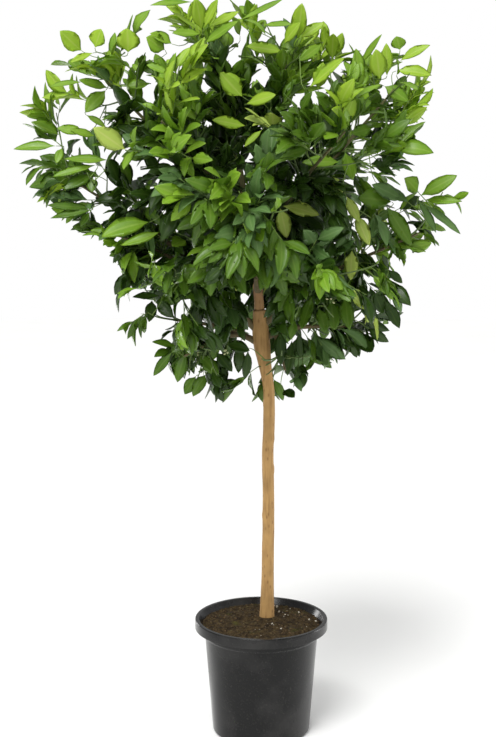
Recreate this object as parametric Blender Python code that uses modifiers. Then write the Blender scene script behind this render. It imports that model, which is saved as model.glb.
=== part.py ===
"""Potted mandarin orange tree: a bare stem with a round leafy head, in a black nursery pot.

Metres, +Z up. The origin is the middle of the pot's underside, and the tree is seen from -Y.
"""

import math
import random
from collections import namedtuple

import bmesh
import bpy
from mathutils import Matrix, Vector
from mathutils.bvhtree import BVHTree

GAP = 0.0003  # between pieces that touch
SHARP_ANGLE = math.radians(35)

# Pot
POT_HEIGHT = 0.245
RIM_RADIUS = 0.140
RIM_WIDTH = 0.0095
RIM_TAPER = 0.0003
SKIRT_HEIGHT = 0.020
NECK_RADIUS = 0.122
NECK_HEIGHT = 0.013
LEDGE = 0.003
FOOT_RADIUS = 0.103
WALL = 0.002
FLOOR = 0.006
FACETS = 32
CHANNEL_DEPTH = 0.003
CHANNEL_INNER = 0.045
CHANNEL_OUTER = 0.090
DRAIN_COUNT = 8
DRAIN_RADIUS = 0.007
DRAIN_SIDES = 10

# Soil, level under the trunk and falling a little to the wall
SOIL_LEVEL = 0.237
SOIL_EDGE_DROP = 0.005
SOIL_LEVEL_RADIUS = 0.070

# Trunk: places of its middle line (x, y, z) from the soil to the fork
TRUNK_LINE = (
    (0.0124, 0.028, SOIL_LEVEL + GAP),
    (0.0132, 0.028, 0.280),
    (0.0142, 0.028, 0.360),
    (0.0152, 0.027, 0.430),
    (0.0150, 0.026, 0.515),
    (0.0133, 0.026, 0.590),
    (0.0157, 0.025, 0.655),
    (0.0154, 0.024, 0.725),
    (0.0100, 0.023, 0.765),
    (0.0020, 0.022, 0.815),
    (-0.0020, 0.022, 0.850),
    (-0.0045, 0.022, 0.896),
)
TRUNK_STEPS = 2
TRUNK_SIDES = 12
TRUNK_RADIUS = 0.0131
TRUNK_TOP_RADIUS = 0.0115
ROOT_FLARE = 0.0035
ROOT_FLARE_HEIGHT = 0.045
HEAD_SWELL = 0.0060
HEAD_HEIGHT = 0.835
HEAD_SPREAD = 0.050

# Crown: each mass of leaves has the furthest point of its leading shoot, a second shoot that
# shows in the outline, and the limb and the share of it where its bough leaves
Mass = namedtuple("Mass", "name tip second parent share")
MASSES = (
    Mass("top_left", (-0.104, 0.010, 1.530), (-0.182, 0.050, 1.512), "trunk", 1.00),
    Mass("top_right", (0.081, 0.000, 1.526), (0.175, 0.050, 1.410), "top_left", 0.62),
    Mass("upper_left", (-0.401, -0.050, 1.451), (-0.290, 0.000, 1.450), "top_left", 0.40),
    Mass("far_left", (-0.501, 0.000, 1.241), (-0.432, 0.050, 1.354), "trunk", 0.90),
    Mass("left_low", (-0.434, 0.000, 1.108), (-0.313, -0.120, 1.040), "far_left", 0.42),
    Mass("lower_left", (-0.291, 0.020, 0.890), (-0.279, 0.000, 0.985), "trunk", 0.84),
    Mass("bottom_left", (-0.227, -0.050, 0.771), (-0.144, 0.000, 0.722), "lower_left", 0.45),
    Mass("lower_right", (0.288, 0.020, 0.862), (0.289, 0.000, 1.000), "trunk", 0.87),
    Mass("bottom_right", (0.062, -0.035, 0.723), (0.100, 0.050, 0.784), "lower_right", 0.30),
    Mass("far_right", (0.422, 0.000, 1.102), (0.398, 0.030, 1.176), "trunk", 0.93),
    Mass("upper_right", (0.334, -0.030, 1.424), (0.320, 0.050, 1.290), "top_left", 0.28),
    Mass("front_high_left", (-0.240, -0.290, 1.330), (-0.140, -0.270, 1.410), "top_left", 0.50),
    Mass("front_high_right", (0.200, -0.300, 1.310), (0.110, -0.290, 1.400), "top_left", 0.42),
    Mass("front_middle", (-0.030, -0.400, 1.150), (0.070, -0.380, 1.110), "top_left", 0.15),
    Mass("front_low_left", (-0.230, -0.270, 0.930), (-0.130, -0.310, 0.900), "front_middle", 0.30),
    Mass("front_low_right", (0.200, -0.280, 0.940), (0.270, -0.170, 1.010), "front_middle", 0.45),
    Mass("back_high_left", (-0.220, 0.300, 1.310), (-0.120, 0.290, 1.400), "top_left", 0.57),
    Mass("back_high_right", (0.220, 0.290, 1.330), (0.130, 0.280, 1.400), "top_left", 0.32),
    Mass("back_middle", (0.000, 0.400, 1.130), (-0.090, 0.380, 1.100), "top_left", 0.06),
    Mass("back_low_left", (-0.200, 0.280, 0.920), (-0.270, 0.180, 1.000), "back_middle", 0.45),
    Mass("back_low_right", (0.190, 0.280, 0.930), (0.110, 0.310, 0.900), "back_middle", 0.30),
)
OUTLINE_MASSES = 11  # the first ones, whose tips are the corners of the crown seen from -Y
HEART = Vector((-0.020, 0.000, 1.120))
CROWN_DEPTH = 0.420  # from the heart to the front and to the back
TIP_OVERHANG = 1.1  # how far past the crown's shape a named shoot may reach

# Boughs
BOUGH_SHARE = 0.32  # of the way to the tip, where the bough enters its mass
BOUGH_ARCH = 0.06
BOUGH_LEVELLING = 0.5
BOUGH_FORWARD = 0.3
BOUGH_RADIUS = 0.0078
LEADER_RADIUS = 0.0105
SIDE_BOUGH_SCALE = 0.8
BOUGH_TAPER = 0.60
BOUGH_STEPS = 5
BOUGH_SIDES = 6
LIMB_CLEARANCE = 0.0015

# Twigs and leaves of the solids, larger and fewer than the real ones
MASS_RADIUS = 0.170
MASS_MIDDLE = 0.52
MASS_HALF_LENGTH = 0.56
ROOM_MARGIN = 0.0006
STEM_SIDES = 5
STEM_STEPS = 4
STEM_TIP_RADIUS = 0.0019
TWIG_SIDES = 3
TWIGS_PER_MASS = 9
TWIG_RADIUS = 0.0021
TWIG_TIP_RADIUS = 0.0013
TWIG_SPREAD = 0.9
TWIG_MARGIN = 0.020
TWIG_TRIES = 60
BARE_STEM = 0.35
BARE_TWIG = 0.30
LEAF_LENGTH = 0.130
LEAF_WIDTH = 0.62
LEAF_THICKNESS = 0.0016
LEAF_WIDEST = 0.46
LEAF_FOLD = 0.05
LEAF_ARCH = 0.16
LEAF_SPACING = 0.038
LEAF_TRIES = 8
LEAF_LEAN = 0.85
LEAF_SHRINK = 0.05
GOLDEN_ANGLE = math.radians(137.5)
SEED = 7

BARK = ("bark", (0.56, 0.41, 0.22), 0.70)
BOUGH_BARK = ("bough_bark", (0.22, 0.17, 0.09), 0.75)
LEAF_GREEN = ("leaf_green", (0.13, 0.27, 0.05), 0.40)
POT_BLACK = ("pot_black", (0.012, 0.012, 0.013), 0.32)
SOIL_BROWN = ("soil_brown", (0.055, 0.035, 0.020), 0.95)


def clear_scene():
    for obj in list(bpy.data.objects):
        bpy.data.objects.remove(obj)


def collection(name):
    made = bpy.data.collections.new(name)
    bpy.context.scene.collection.children.link(made)
    return made


def material(look):
    name, colour, roughness = look
    found = bpy.data.materials.get(name)
    if found:
        return found
    made = bpy.data.materials.new(name)
    made.use_nodes = True
    shader = made.node_tree.nodes["Principled BSDF"]
    shader.inputs["Base Color"].default_value = (*colour, 1.0)
    shader.inputs["Roughness"].default_value = roughness
    shader.inputs["Metallic"].default_value = 0.0
    return made


def place(name, data, where):
    obj = bpy.data.objects.new(name, data)
    where.objects.link(obj)
    return obj


def as_helper(obj):
    obj.hide_render = True
    obj.display_type = "WIRE"
    return obj


def evaluated_mesh(obj):
    graph = bpy.context.evaluated_depsgraph_get()
    return bpy.data.meshes.new_from_object(obj.evaluated_get(graph), depsgraph=graph)


def swap_mesh(obj, mesh):
    """Gives the object a plain mesh in place of its own one and its modifiers."""
    old = obj.data
    obj.modifiers.clear()
    obj.data = mesh
    bpy.data.meshes.remove(old)


def finish(obj, look):
    """Applies the modifiers, shades the round faces smooth and sets the one material."""
    swap_mesh(obj, evaluated_mesh(obj))
    obj.data.materials.clear()
    obj.data.materials.append(material(look))
    obj.data.shade_smooth()
    obj.data.set_sharp_from_angle(angle=SHARP_ANGLE)


def remove_all(objects):
    for obj in list(objects):
        mesh = obj.data
        bpy.data.objects.remove(obj)
        bpy.data.meshes.remove(mesh)


def turned(name, profile, where):
    """A solid turned round Z from (radius, height) points that end on the axis."""
    mesh = bpy.data.meshes.new(name)
    points = [(radius, 0.0, height) for radius, height in profile]
    edges = [(i, i + 1) for i in range(len(points) - 1)]
    mesh.from_pydata(points, edges, [])
    obj = place(name, mesh, where)
    screw = obj.modifiers.new("turn", "SCREW")
    screw.steps = screw.render_steps = FACETS
    screw.use_merge_vertices = True
    screw.merge_threshold = 0.00001
    return obj


def boolean(obj, operation, solver="EXACT"):
    step = obj.modifiers.new(operation.lower(), "BOOLEAN")
    step.operation = operation
    step.solver = solver
    return step


def inner_wall():
    """(radius, height) down the inside of the pot, from the rim to the floor."""
    neck_top = POT_HEIGHT - SKIRT_HEIGHT
    neck_foot = neck_top - NECK_HEIGHT
    return (
        (RIM_RADIUS - RIM_WIDTH, POT_HEIGHT - WALL),
        (NECK_RADIUS - WALL, neck_top + WALL),
        (NECK_RADIUS - WALL, neck_foot + LEDGE),
        (NECK_RADIUS - LEDGE - WALL, neck_foot - WALL),
        (FOOT_RADIUS - WALL, FLOOR),
    )


def pot_profile():
    """(radius, height) from the middle of the floor over the rim to the underside."""
    neck_top = POT_HEIGHT - SKIRT_HEIGHT
    neck_foot = neck_top - NECK_HEIGHT
    rim_inside = RIM_RADIUS - RIM_WIDTH + WALL
    inside = [(0.0, FLOOR), *reversed(inner_wall())]
    rim = [
        (rim_inside, POT_HEIGHT),
        (RIM_RADIUS - WALL, POT_HEIGHT),
        (RIM_RADIUS - RIM_TAPER, POT_HEIGHT - WALL),
        (RIM_RADIUS, neck_top),
        (RIM_RADIUS - WALL, neck_top),
        (RIM_RADIUS - RIM_TAPER - WALL, POT_HEIGHT - 2 * WALL),
        (rim_inside, POT_HEIGHT - 2 * WALL),
    ]
    outside = [
        (NECK_RADIUS, neck_top),
        (NECK_RADIUS, neck_foot),
        (NECK_RADIUS - LEDGE, neck_foot - LEDGE),
        (FOOT_RADIUS, 2 * WALL),
        (FOOT_RADIUS - 2 * WALL, 0.0),
    ]
    under = [
        (CHANNEL_OUTER, 0.0),
        (CHANNEL_OUTER - WALL, CHANNEL_DEPTH),
        (CHANNEL_INNER + WALL, CHANNEL_DEPTH),
        (CHANNEL_INNER, 0.0),
        (0.0, 0.0),
    ]
    return inside + rim + outside + under


def drain_cutters(where):
    """Round cutters through the floor, evenly spaced in the channel."""
    bm = bmesh.new()
    ring = (CHANNEL_INNER + CHANNEL_OUTER) / 2
    for i in range(DRAIN_COUNT):
        angle = math.tau * (i + 0.5) / DRAIN_COUNT
        middle = Vector((ring * math.cos(angle), ring * math.sin(angle), FLOOR / 2))
        bmesh.ops.create_cone(
            bm, cap_ends=True, segments=DRAIN_SIDES, radius1=DRAIN_RADIUS,
            radius2=DRAIN_RADIUS, depth=3 * FLOOR, matrix=Matrix.Translation(middle),
        )
    mesh = bpy.data.meshes.new("drain_cutters")
    bm.to_mesh(mesh)
    bm.free()
    return as_helper(place("drain_cutters", mesh, where))


def make_pot(where, helpers):
    pot = turned("pot", pot_profile(), where)
    boolean(pot, "DIFFERENCE").object = drain_cutters(helpers)
    finish(pot, POT_BLACK)


def make_soil(where):
    """The soil, which fills the pot and stays clear of its wall and floor."""
    top_edge = SOIL_LEVEL - SOIL_EDGE_DROP
    (rim_radius, rim_height), (neck_radius, neck_height), *lower = inner_wall()
    share = (top_edge - neck_height) / (rim_height - neck_height)
    edge_radius = neck_radius + share * (rim_radius - neck_radius)
    side = [(edge_radius, top_edge), (neck_radius, neck_height), *lower[:-1]]
    clear = [(radius - 2 * GAP, height) for radius, height in side]
    floor = FLOOR + GAP
    top = [(0.0, SOIL_LEVEL), (SOIL_LEVEL_RADIUS, SOIL_LEVEL)]
    soil = turned("soil", [*top, *clear, (lower[-1][0] - 3 * GAP, floor), (0.0, floor)], where)
    finish(soil, SOIL_BROWN)


def ring_curve(sides, helpers):
    """A closed outline of that many sides and radius 1, which tubes are swept along."""
    name = f"ring_{sides}"
    found = bpy.data.objects.get(name)
    if found:
        return found
    data = bpy.data.curves.new(name, "CURVE")
    spline = data.splines.new("POLY")
    spline.points.add(sides - 1)
    for i, point in enumerate(spline.points):
        angle = math.tau * i / sides
        point.co = (math.cos(angle), math.sin(angle), 0.0, 1.0)
    spline.use_cyclic_u = True
    return as_helper(place(name, data, helpers))


def tube_mesh(name, points, radii, sides, helpers):
    """A closed tapering tube along the points, as a mesh in world space."""
    data = bpy.data.curves.new(name, "CURVE")
    data.dimensions = "3D"
    data.bevel_mode = "OBJECT"
    data.bevel_object = ring_curve(sides, helpers)
    data.use_fill_caps = True
    spline = data.splines.new("POLY")
    spline.points.add(len(points) - 1)
    for point, middle, radius in zip(spline.points, points, radii):
        point.co = (*middle, 1.0)
        point.radius = radius
    guide = place(name + "_guide", data, helpers)
    mesh = evaluated_mesh(guide)
    bpy.data.objects.remove(guide)
    bpy.data.curves.remove(data)
    bm = bmesh.new()
    bm.from_mesh(mesh)
    bmesh.ops.remove_doubles(bm, verts=bm.verts, dist=0.00001)
    bmesh.ops.recalc_face_normals(bm, faces=bm.faces)
    bm.to_mesh(mesh)
    bm.free()
    mesh.name = name
    return mesh


def smooth_line(points, steps):
    """A Catmull-Rom curve through the points, with that many steps to each span."""
    ends = [2 * points[0] - points[1], *points, 2 * points[-1] - points[-2]]
    line = []
    for a, b, c, d in zip(ends, ends[1:], ends[2:], ends[3:]):
        for i in range(steps):
            t = i / steps
            bend = (2 * a - 5 * b + 4 * c - d) * t**2 + (3 * b - a - 3 * c + d) * t**3
            line.append(0.5 * (2 * b + (c - a) * t + bend))
    return [*line, points[-1]]


def arc_line(start, start_way, end, end_way, steps):
    """A curve that leaves start along start_way and arrives at end along end_way."""
    reach = (end - start).length / 3
    a = start + start_way.normalized() * reach
    b = end - end_way.normalized() * reach
    line = []
    for i in range(steps + 1):
        t = i / steps
        s = 1 - t
        line.append(s**3 * start + 3 * s * s * t * a + 3 * s * t * t * b + t**3 * end)
    return line


def along(line, share):
    """The place and the direction at a share of a line's steps."""
    x = min(max(share, 0.0), 1.0) * (len(line) - 1)
    i = min(int(x), len(line) - 2)
    return line[i].lerp(line[i + 1], x - i), (line[i + 1] - line[i]).normalized()


def tapered(start, end, count):
    return [start + (end - start) * i / (count - 1) for i in range(count)]


def trunk_radius(height):
    """The trunk's radius, with the root flare and the swollen head under the fork."""
    foot = TRUNK_LINE[0][2]
    share = (height - foot) / (TRUNK_LINE[-1][2] - foot)
    flare = ROOT_FLARE * math.exp(-(height - foot) / ROOT_FLARE_HEIGHT)
    head = HEAD_SWELL * math.exp(-(((height - HEAD_HEIGHT) / HEAD_SPREAD) ** 2))
    return TRUNK_RADIUS + (TRUNK_TOP_RADIUS - TRUNK_RADIUS) * share + flare + head


Limb = namedtuple("Limb", "line radii sides")


def plan_bough(mass, parent):
    """The middle line and radii of a mass's bough, from its parent's middle line."""
    start, way = along(parent.line, mass.share)
    tip = Vector(mass.tip)
    leads = mass.share == 1.0
    if leads:
        start = start + way * GAP
    entry = start.lerp(tip, BOUGH_SHARE)
    entry.z += BOUGH_ARCH * (tip - start).length
    away = (entry - start).normalized()
    away.z *= BOUGH_LEVELLING
    start_way = way if leads else away + BOUGH_FORWARD * way
    line = arc_line(start, start_way, entry, tip - entry, BOUGH_STEPS)
    thick = LEADER_RADIUS if leads else BOUGH_RADIUS
    if mass.parent not in ("trunk", "top_left"):
        thick *= SIDE_BOUGH_SCALE
    return Limb(line, tapered(thick, thick * BOUGH_TAPER, len(line)), BOUGH_SIDES)


def plan_limbs():
    """The trunk and the bough of each mass, by name."""
    line = smooth_line([Vector(point) for point in TRUNK_LINE], TRUNK_STEPS)
    limbs = {"trunk": Limb(line, [trunk_radius(point.z) for point in line], TRUNK_SIDES)}
    for mass in MASSES:
        limbs[mass.name] = plan_bough(mass, limbs[mass.parent])
    return limbs


def shell_of(face, left):
    """The faces that hang together with one, which are taken out of those left."""
    shell, stack = [], [face]
    while stack:
        face = stack.pop()
        shell.append(face)
        for edge in face.edges:
            for other in edge.link_faces:
                if other in left:
                    left.remove(other)
                    stack.append(other)
    return shell


def keep_main_shell(mesh):
    """Drops scraps and the walls of sealed hollows, which are shells of their own."""
    bm = bmesh.new()
    bm.from_mesh(mesh)
    left = set(bm.faces)
    shells = []
    while left:
        shells.append(shell_of(left.pop(), left))
    largest = max(shells, key=lambda shell: sum(face.calc_area() for face in shell))
    extra = [face for shell in shells if shell is not largest for face in shell]
    bmesh.ops.delete(bm, geom=extra, context="FACES")
    bm.to_mesh(mesh)
    bm.free()


def is_closed(mesh):
    bm = bmesh.new()
    bm.from_mesh(mesh)
    sealed = all(len(edge.link_faces) == 2 for edge in bm.edges)
    faces_out = bm.calc_volume(signed=True) > 0
    bm.free()
    return sealed and faces_out


def tree_of(mesh):
    """The mesh in the form that tells whether two meshes cross."""
    points = [vert.co for vert in mesh.vertices]
    return BVHTree.FromPolygons(points, [face.vertices[:] for face in mesh.polygons])


def swollen(limb, more, helpers):
    radii = [radius + more for radius in limb.radii]
    return tube_mesh("swollen_limb", limb.line, radii, limb.sides, helpers)


def flatten_foot(mesh):
    """Levels the first ring of the trunk, which is cut flat where it meets the soil."""
    level = TRUNK_LINE[0][2]
    for vert in mesh.vertices:
        if vert.co.z < level + 4 * GAP:
            vert.co.z = level


def make_limbs(limbs, where, helpers):
    """The trunk, and each bough cut back to the bark of the limbs before it."""
    cutters = []
    for name, limb in limbs.items():
        is_trunk = name == "trunk"
        node = name if is_trunk else f"bough_{name}"
        mesh = tube_mesh(node, limb.line, limb.radii, limb.sides, helpers)
        if is_trunk:
            flatten_foot(mesh)
        obj = place(node, mesh, where)
        shape = tree_of(mesh)
        for cutter in cutters:
            if shape.overlap(tree_of(cutter.data)):
                boolean(obj, "DIFFERENCE").object = cutter
                swap_mesh(obj, evaluated_mesh(obj))
                keep_main_shell(obj.data)
        finish(obj, BARK if is_trunk else BOUGH_BARK)
        cutters.append(as_helper(place(f"{node}_cutter", swollen(limb, GAP, helpers), helpers)))
    remove_all(cutters)


class Room:
    """The room of one mass: an egg round its leading shoot, up to its neighbours' rooms."""

    def __init__(self, mass, entry):
        shoot = Vector(mass.tip) - entry
        self.entry = entry
        self.middle = entry + MASS_MIDDLE * shoot
        self.axis = shoot.normalized()
        self.half_length = MASS_HALF_LENGTH * shoot.length
        self.neighbours = []

    def margin(self, point):
        """How far inside its own side the point is, from the nearest neighbour's room."""
        margins = []
        for other in self.neighbours:
            halfway = (other.middle + self.middle) / 2
            margins.append((halfway - point).dot((other.middle - self.middle).normalized()))
        return min(margins)

    def point_at(self, way, size):
        """The point that far out in a direction, where 1 is the skin of the egg."""
        side = self.axis.orthogonal().normalized()
        other = self.axis.cross(side)
        across = (side * way.y + other * way.z) * MASS_RADIUS
        return self.middle + size * (self.axis * way.x * self.half_length + across)


def plan_rooms(limbs):
    rooms = {mass.name: Room(mass, limbs[mass.name].line[-1]) for mass in MASSES}
    for name, room in rooms.items():
        room.neighbours = [other for key, other in rooms.items() if key != name]
    return rooms


def crown_outline():
    """(angle, radius) of the crown's corners round its heart, seen from -Y."""
    corners = []
    for mass in MASSES[:OUTLINE_MASSES]:
        for tip in (mass.tip, mass.second):
            across, _, up = Vector(tip) - HEART
            corners.append((math.atan2(up, across), math.hypot(up, across)))
    corners.sort()
    first, last = corners[0], corners[-1]
    return [(last[0] - math.tau, last[1]), *corners, (first[0] + math.tau, first[1])]


OUTLINE = crown_outline()


def crown_share(point):
    """0 at the heart of the crown and 1 at its outer shape."""
    across, deep, up = point - HEART
    angle = math.atan2(up, across)
    for (a, near), (b, far) in zip(OUTLINE, OUTLINE[1:]):
        if a <= angle <= b:
            radius = near + (far - near) * (angle - a) / (b - a)
            break
    return math.hypot(math.hypot(up, across) / radius, deep / CROWN_DEPTH)


def random_way(rng):
    return Vector([rng.gauss(0, 1) for _ in range(3)]).normalized()


def twig_goals(room, taken, rng):
    """Spread-out places in a mass's room for the tips of its twigs."""
    goals = list(taken)
    for _ in range(TWIGS_PER_MASS - 1):
        best, best_space = None, 0.0
        for _ in range(TWIG_TRIES):
            point = room.point_at(random_way(rng), rng.uniform(0.30, 0.95))
            behind = (point - room.entry).dot(room.axis) < -0.1 * room.half_length
            if behind or room.margin(point) < TWIG_MARGIN or crown_share(point) > 0.96:
                continue
            space = min((point - goal).length for goal in goals)
            if space > best_space:
                best, best_space = point, space
        if best is not None:
            goals.append(best)
    return goals[1:]


def fork_share(line, goal):
    """Where a twig leaves a stem so that it runs forwards to its goal."""
    costs = []
    for i in range(2, 19):
        fork, way = along(line, i / 20)
        rel = goal - fork
        costs.append((abs(rel.angle(way) - TWIG_SPREAD) * rel.length, i / 20))
    return min(costs)[1]


def shoot_end(fork, goal):
    """Where a shoot stops short of its goal, which its last leaf reaches."""
    reach = (goal - fork).length
    return fork.lerp(goal, max(0.45, 1 - 0.85 * LEAF_LENGTH / reach))


def leaf_mesh(root, tip, face_up):
    """A folded blade of eight faces: an octahedron drawn out from its root to its tip."""
    bm = bmesh.new()
    bmesh.ops.create_uvsphere(bm, u_segments=4, v_segments=2, radius=1.0)
    length = (tip - root).length
    way = (tip - root).normalized()
    side = way.cross(face_up).normalized()
    up = side.cross(way)
    for vert in bm.verts:
        share = LEAF_WIDEST if abs(vert.co.z) < 0.5 else (vert.co.z + 1) / 2
        across = vert.co.x * length * LEAF_WIDTH / 2
        lift = vert.co.y * LEAF_THICKNESS / 2 + abs(vert.co.x) * LEAF_FOLD * length
        lift += LEAF_ARCH * length * share * (1 - share)
        vert.co = root + way * length * share + side * across + up * lift
    bm.normal_update()
    if bm.calc_volume(signed=True) < 0:
        bmesh.ops.reverse_faces(bm, faces=bm.faces)
    mesh = bpy.data.meshes.new("leaf")
    bm.to_mesh(mesh)
    bm.free()
    return mesh


def leaf_way(way, turn, lean, outward):
    """A leaf leans off its twig, bends to the light and hangs a little low in the crown."""
    across = Matrix.Rotation(turn, 3, way) @ way.orthogonal().normalized()
    blade = way * math.cos(lean) + across * math.sin(lean)
    sag = 0.05 if outward.z > 0.1 else -0.20
    return (blade + outward * 0.35 + Vector((0, 0, sag))).normalized()


def leaf_face(outward, rng):
    """A leaf shows its upper side outwards and to the sky, more or less."""
    return (outward * 0.9 + Vector((0, 0, 0.35)) + 0.75 * random_way(rng)).normalized()


class Growth:
    """The twigs and leaves of one mass so far, and what they stay clear of."""

    def __init__(self, room, limb_shapes, pieces, rng):
        self.room = room
        self.limb_shapes = limb_shapes
        self.leaf_shapes = []
        self.pieces = pieces
        self.rng = rng

    def keeps_clear(self, mesh, shapes, most_share):
        points = [vert.co for vert in mesh.vertices]
        if any(self.room.margin(point) < ROOM_MARGIN for point in points):
            return False
        if any(crown_share(point) > most_share for point in points):
            return False
        own = tree_of(mesh)
        return not any(own.overlap(shape) for shape in shapes)

    def add_twig(self, line, helpers):
        """A twig along the line, unless it would leave the room or touch a limb."""
        radii = tapered(TWIG_RADIUS, TWIG_TIP_RADIUS, len(line))
        mesh = tube_mesh("twig", line, radii, TWIG_SIDES, helpers)
        fits = self.keeps_clear(mesh, self.limb_shapes, TIP_OVERHANG)
        if fits:
            place("twig", mesh, self.pieces)
        else:
            bpy.data.meshes.remove(mesh)
        return fits

    def add_leaf(self, root, way, turn, goal=None):
        """A leaf at root, unless it would leave the room, touch a limb or cross a leaf."""
        outward = (root - HEART).normalized()
        shapes = self.limb_shapes + self.leaf_shapes
        for attempt in range(LEAF_TRIES):
            size = self.rng.uniform(0.85, 1.10) * (1 - LEAF_SHRINK * attempt)
            blade = leaf_way(way, turn + 0.8 * attempt, LEAF_LEAN, outward)
            aims = goal is not None and attempt < LEAF_TRIES / 2
            tip = goal if aims else root + blade * LEAF_LENGTH * size
            mesh = leaf_mesh(root, tip, leaf_face(outward, self.rng))
            if self.keeps_clear(mesh, shapes, TIP_OVERHANG if aims else 1.0):
                self.leaf_shapes.append(tree_of(mesh))
                place("leaf", mesh, self.pieces)
                return
            bpy.data.meshes.remove(mesh)

    def add_leaves(self, line, goal, bare_share):
        """Leaves in a spiral along a shoot, the last of which reaches its goal."""
        length = sum((b - a).length for a, b in zip(line, line[1:]))
        count = max(1, round(length * (1 - bare_share) / LEAF_SPACING))
        turn = self.rng.uniform(0, math.tau)
        self.add_leaf(*along(line, 0.985), turn, goal)
        for i in range(count):
            turn += GOLDEN_ANGLE
            self.add_leaf(*along(line, 0.95 + (bare_share - 0.95) * i / count), turn)


def grow_mass(mass, index, bough, room, limb_shapes, where, helpers):
    """One mass of foliage: a stem, its twigs and their leaves, fused into one solid."""
    way_in = (bough.line[-1] - bough.line[-2]).normalized()
    start = bough.line[-1] + way_in * GAP
    tip = Vector(mass.tip)
    stem = arc_line(start, way_in, shoot_end(start, tip), tip - start, STEM_STEPS)
    radii = tapered(bough.radii[-1], STEM_TIP_RADIUS, len(stem))
    base = place(
        f"leaves_{mass.name}", tube_mesh("stem", stem, radii, STEM_SIDES, helpers), where
    )
    pieces = collection(f"pieces_{mass.name}")
    growth = Growth(room, limb_shapes, pieces, random.Random(SEED * 1000 + index))
    shoots = [(stem, tip, BARE_STEM)]
    for goal in twig_goals(room, [tip, Vector(mass.second)], random.Random(SEED * 100 + index)):
        fork, _ = along(stem, fork_share(stem, goal))
        twig = [fork, shoot_end(fork, goal)]
        if growth.add_twig(twig, helpers):
            shoots.append((twig, goal, BARE_TWIG))
    for line, goal, bare_share in shoots:
        growth.add_leaves(line, goal, bare_share)
    fuse(base, pieces)


def fuse(base, pieces):
    """Joins a collection's solids to the base, and removes them."""
    for solver in ("EXACT", "MANIFOLD"):
        union = boolean(base, "UNION", solver)
        union.operand_type = "COLLECTION"
        union.collection = pieces
        mesh = evaluated_mesh(base)
        base.modifiers.clear()
        keep_main_shell(mesh)
        if is_closed(mesh):
            break
    print(f"{base.name}: {len(pieces.objects)} pieces fused, {len(mesh.polygons)} faces")
    swap_mesh(base, mesh)
    remove_all(pieces.objects)
    bpy.data.collections.remove(pieces)
    finish(base, LEAF_GREEN)


def main():
    clear_scene()
    tree = collection("mandarin_tree")
    helpers = collection("helpers")
    make_pot(tree, helpers)
    make_soil(tree)
    limbs = plan_limbs()
    make_limbs(limbs, tree, helpers)
    rooms = plan_rooms(limbs)
    shapes = [tree_of(swollen(limb, LIMB_CLEARANCE, helpers)) for limb in limbs.values()]
    for index, mass in enumerate(MASSES):
        grow_mass(mass, index, limbs[mass.name], rooms[mass.name], shapes, tree, helpers)


main()
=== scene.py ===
import math
import random

import bmesh
import bpy
import numpy as np
from mathutils import Matrix, Vector, noise


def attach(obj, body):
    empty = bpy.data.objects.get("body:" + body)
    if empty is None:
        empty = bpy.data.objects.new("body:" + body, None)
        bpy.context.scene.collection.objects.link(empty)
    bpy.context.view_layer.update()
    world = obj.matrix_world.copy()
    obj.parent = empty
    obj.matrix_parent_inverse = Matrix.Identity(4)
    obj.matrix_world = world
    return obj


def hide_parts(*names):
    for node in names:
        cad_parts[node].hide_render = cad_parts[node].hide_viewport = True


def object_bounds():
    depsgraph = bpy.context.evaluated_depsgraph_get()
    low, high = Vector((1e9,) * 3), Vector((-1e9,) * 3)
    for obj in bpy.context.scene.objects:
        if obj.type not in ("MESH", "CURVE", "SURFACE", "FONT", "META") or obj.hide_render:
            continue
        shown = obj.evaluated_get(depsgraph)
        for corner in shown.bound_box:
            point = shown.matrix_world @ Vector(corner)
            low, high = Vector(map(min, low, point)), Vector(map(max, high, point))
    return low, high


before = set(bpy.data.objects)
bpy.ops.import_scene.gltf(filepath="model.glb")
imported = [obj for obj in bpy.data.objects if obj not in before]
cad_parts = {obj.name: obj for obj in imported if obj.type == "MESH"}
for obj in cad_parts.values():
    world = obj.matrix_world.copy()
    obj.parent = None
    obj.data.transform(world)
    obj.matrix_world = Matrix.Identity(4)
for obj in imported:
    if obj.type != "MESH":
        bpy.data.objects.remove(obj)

# Potted mandarin orange tree: metres, +Z up, seen from -Y, the pot's underside at z = 0

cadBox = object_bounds()

photo = {
    "width": 496, "height": 737,
    "cameraAt": (-0.028, -2.600, 1.138),
    "tiltDown": 7.91,  # degrees below level
    "lens": 62.2, "film": 36.0,
}


def atPixel(x, y, depth):
    # the place on the plane y = depth that shows at a pixel of the photograph
    focal = photo["lens"] / photo["film"] * photo["height"]
    tilt = math.radians(photo["tiltDown"])
    forward = Vector((0, math.cos(tilt), -math.sin(tilt)))
    upward = Vector((0, math.sin(tilt), math.cos(tilt)))
    across = (x - photo["width"] / 2) / focal
    rise = (photo["height"] / 2 - y) / focal
    ray = forward + Vector((across, 0, 0)) + upward * rise
    eye = Vector(photo["cameraAt"])
    return eye + ray * ((depth - eye.y) / ray.y)


def toPixel(point):
    focal = photo["lens"] / photo["film"] * photo["height"]
    tilt = math.radians(photo["tiltDown"])
    x, y, z = Vector(point) - Vector(photo["cameraAt"])
    far = y * math.cos(tilt) - z * math.sin(tilt)
    rise = y * math.sin(tilt) + z * math.cos(tilt)
    return photo["width"] / 2 + focal * x / far, photo["height"] / 2 - focal * rise / far


# Shader nodes, written as sums
class Value:
    def __init__(self, tree, socket):
        self.tree = tree
        self.socket = socket

    def math(self, operation, first, second):
        made = self.tree.nodes.new("ShaderNodeMath")
        made.operation = operation
        fill(self.tree, made.inputs[0], first)
        fill(self.tree, made.inputs[1], second)
        return Value(self.tree, made.outputs[0])

    def __add__(self, other):
        return self.math("ADD", self, other)

    def __mul__(self, other):
        return self.math("MULTIPLY", self, other)

    def __rsub__(self, other):
        return self.math("SUBTRACT", other, self)

    __radd__ = __add__
    __rmul__ = __mul__


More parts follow.
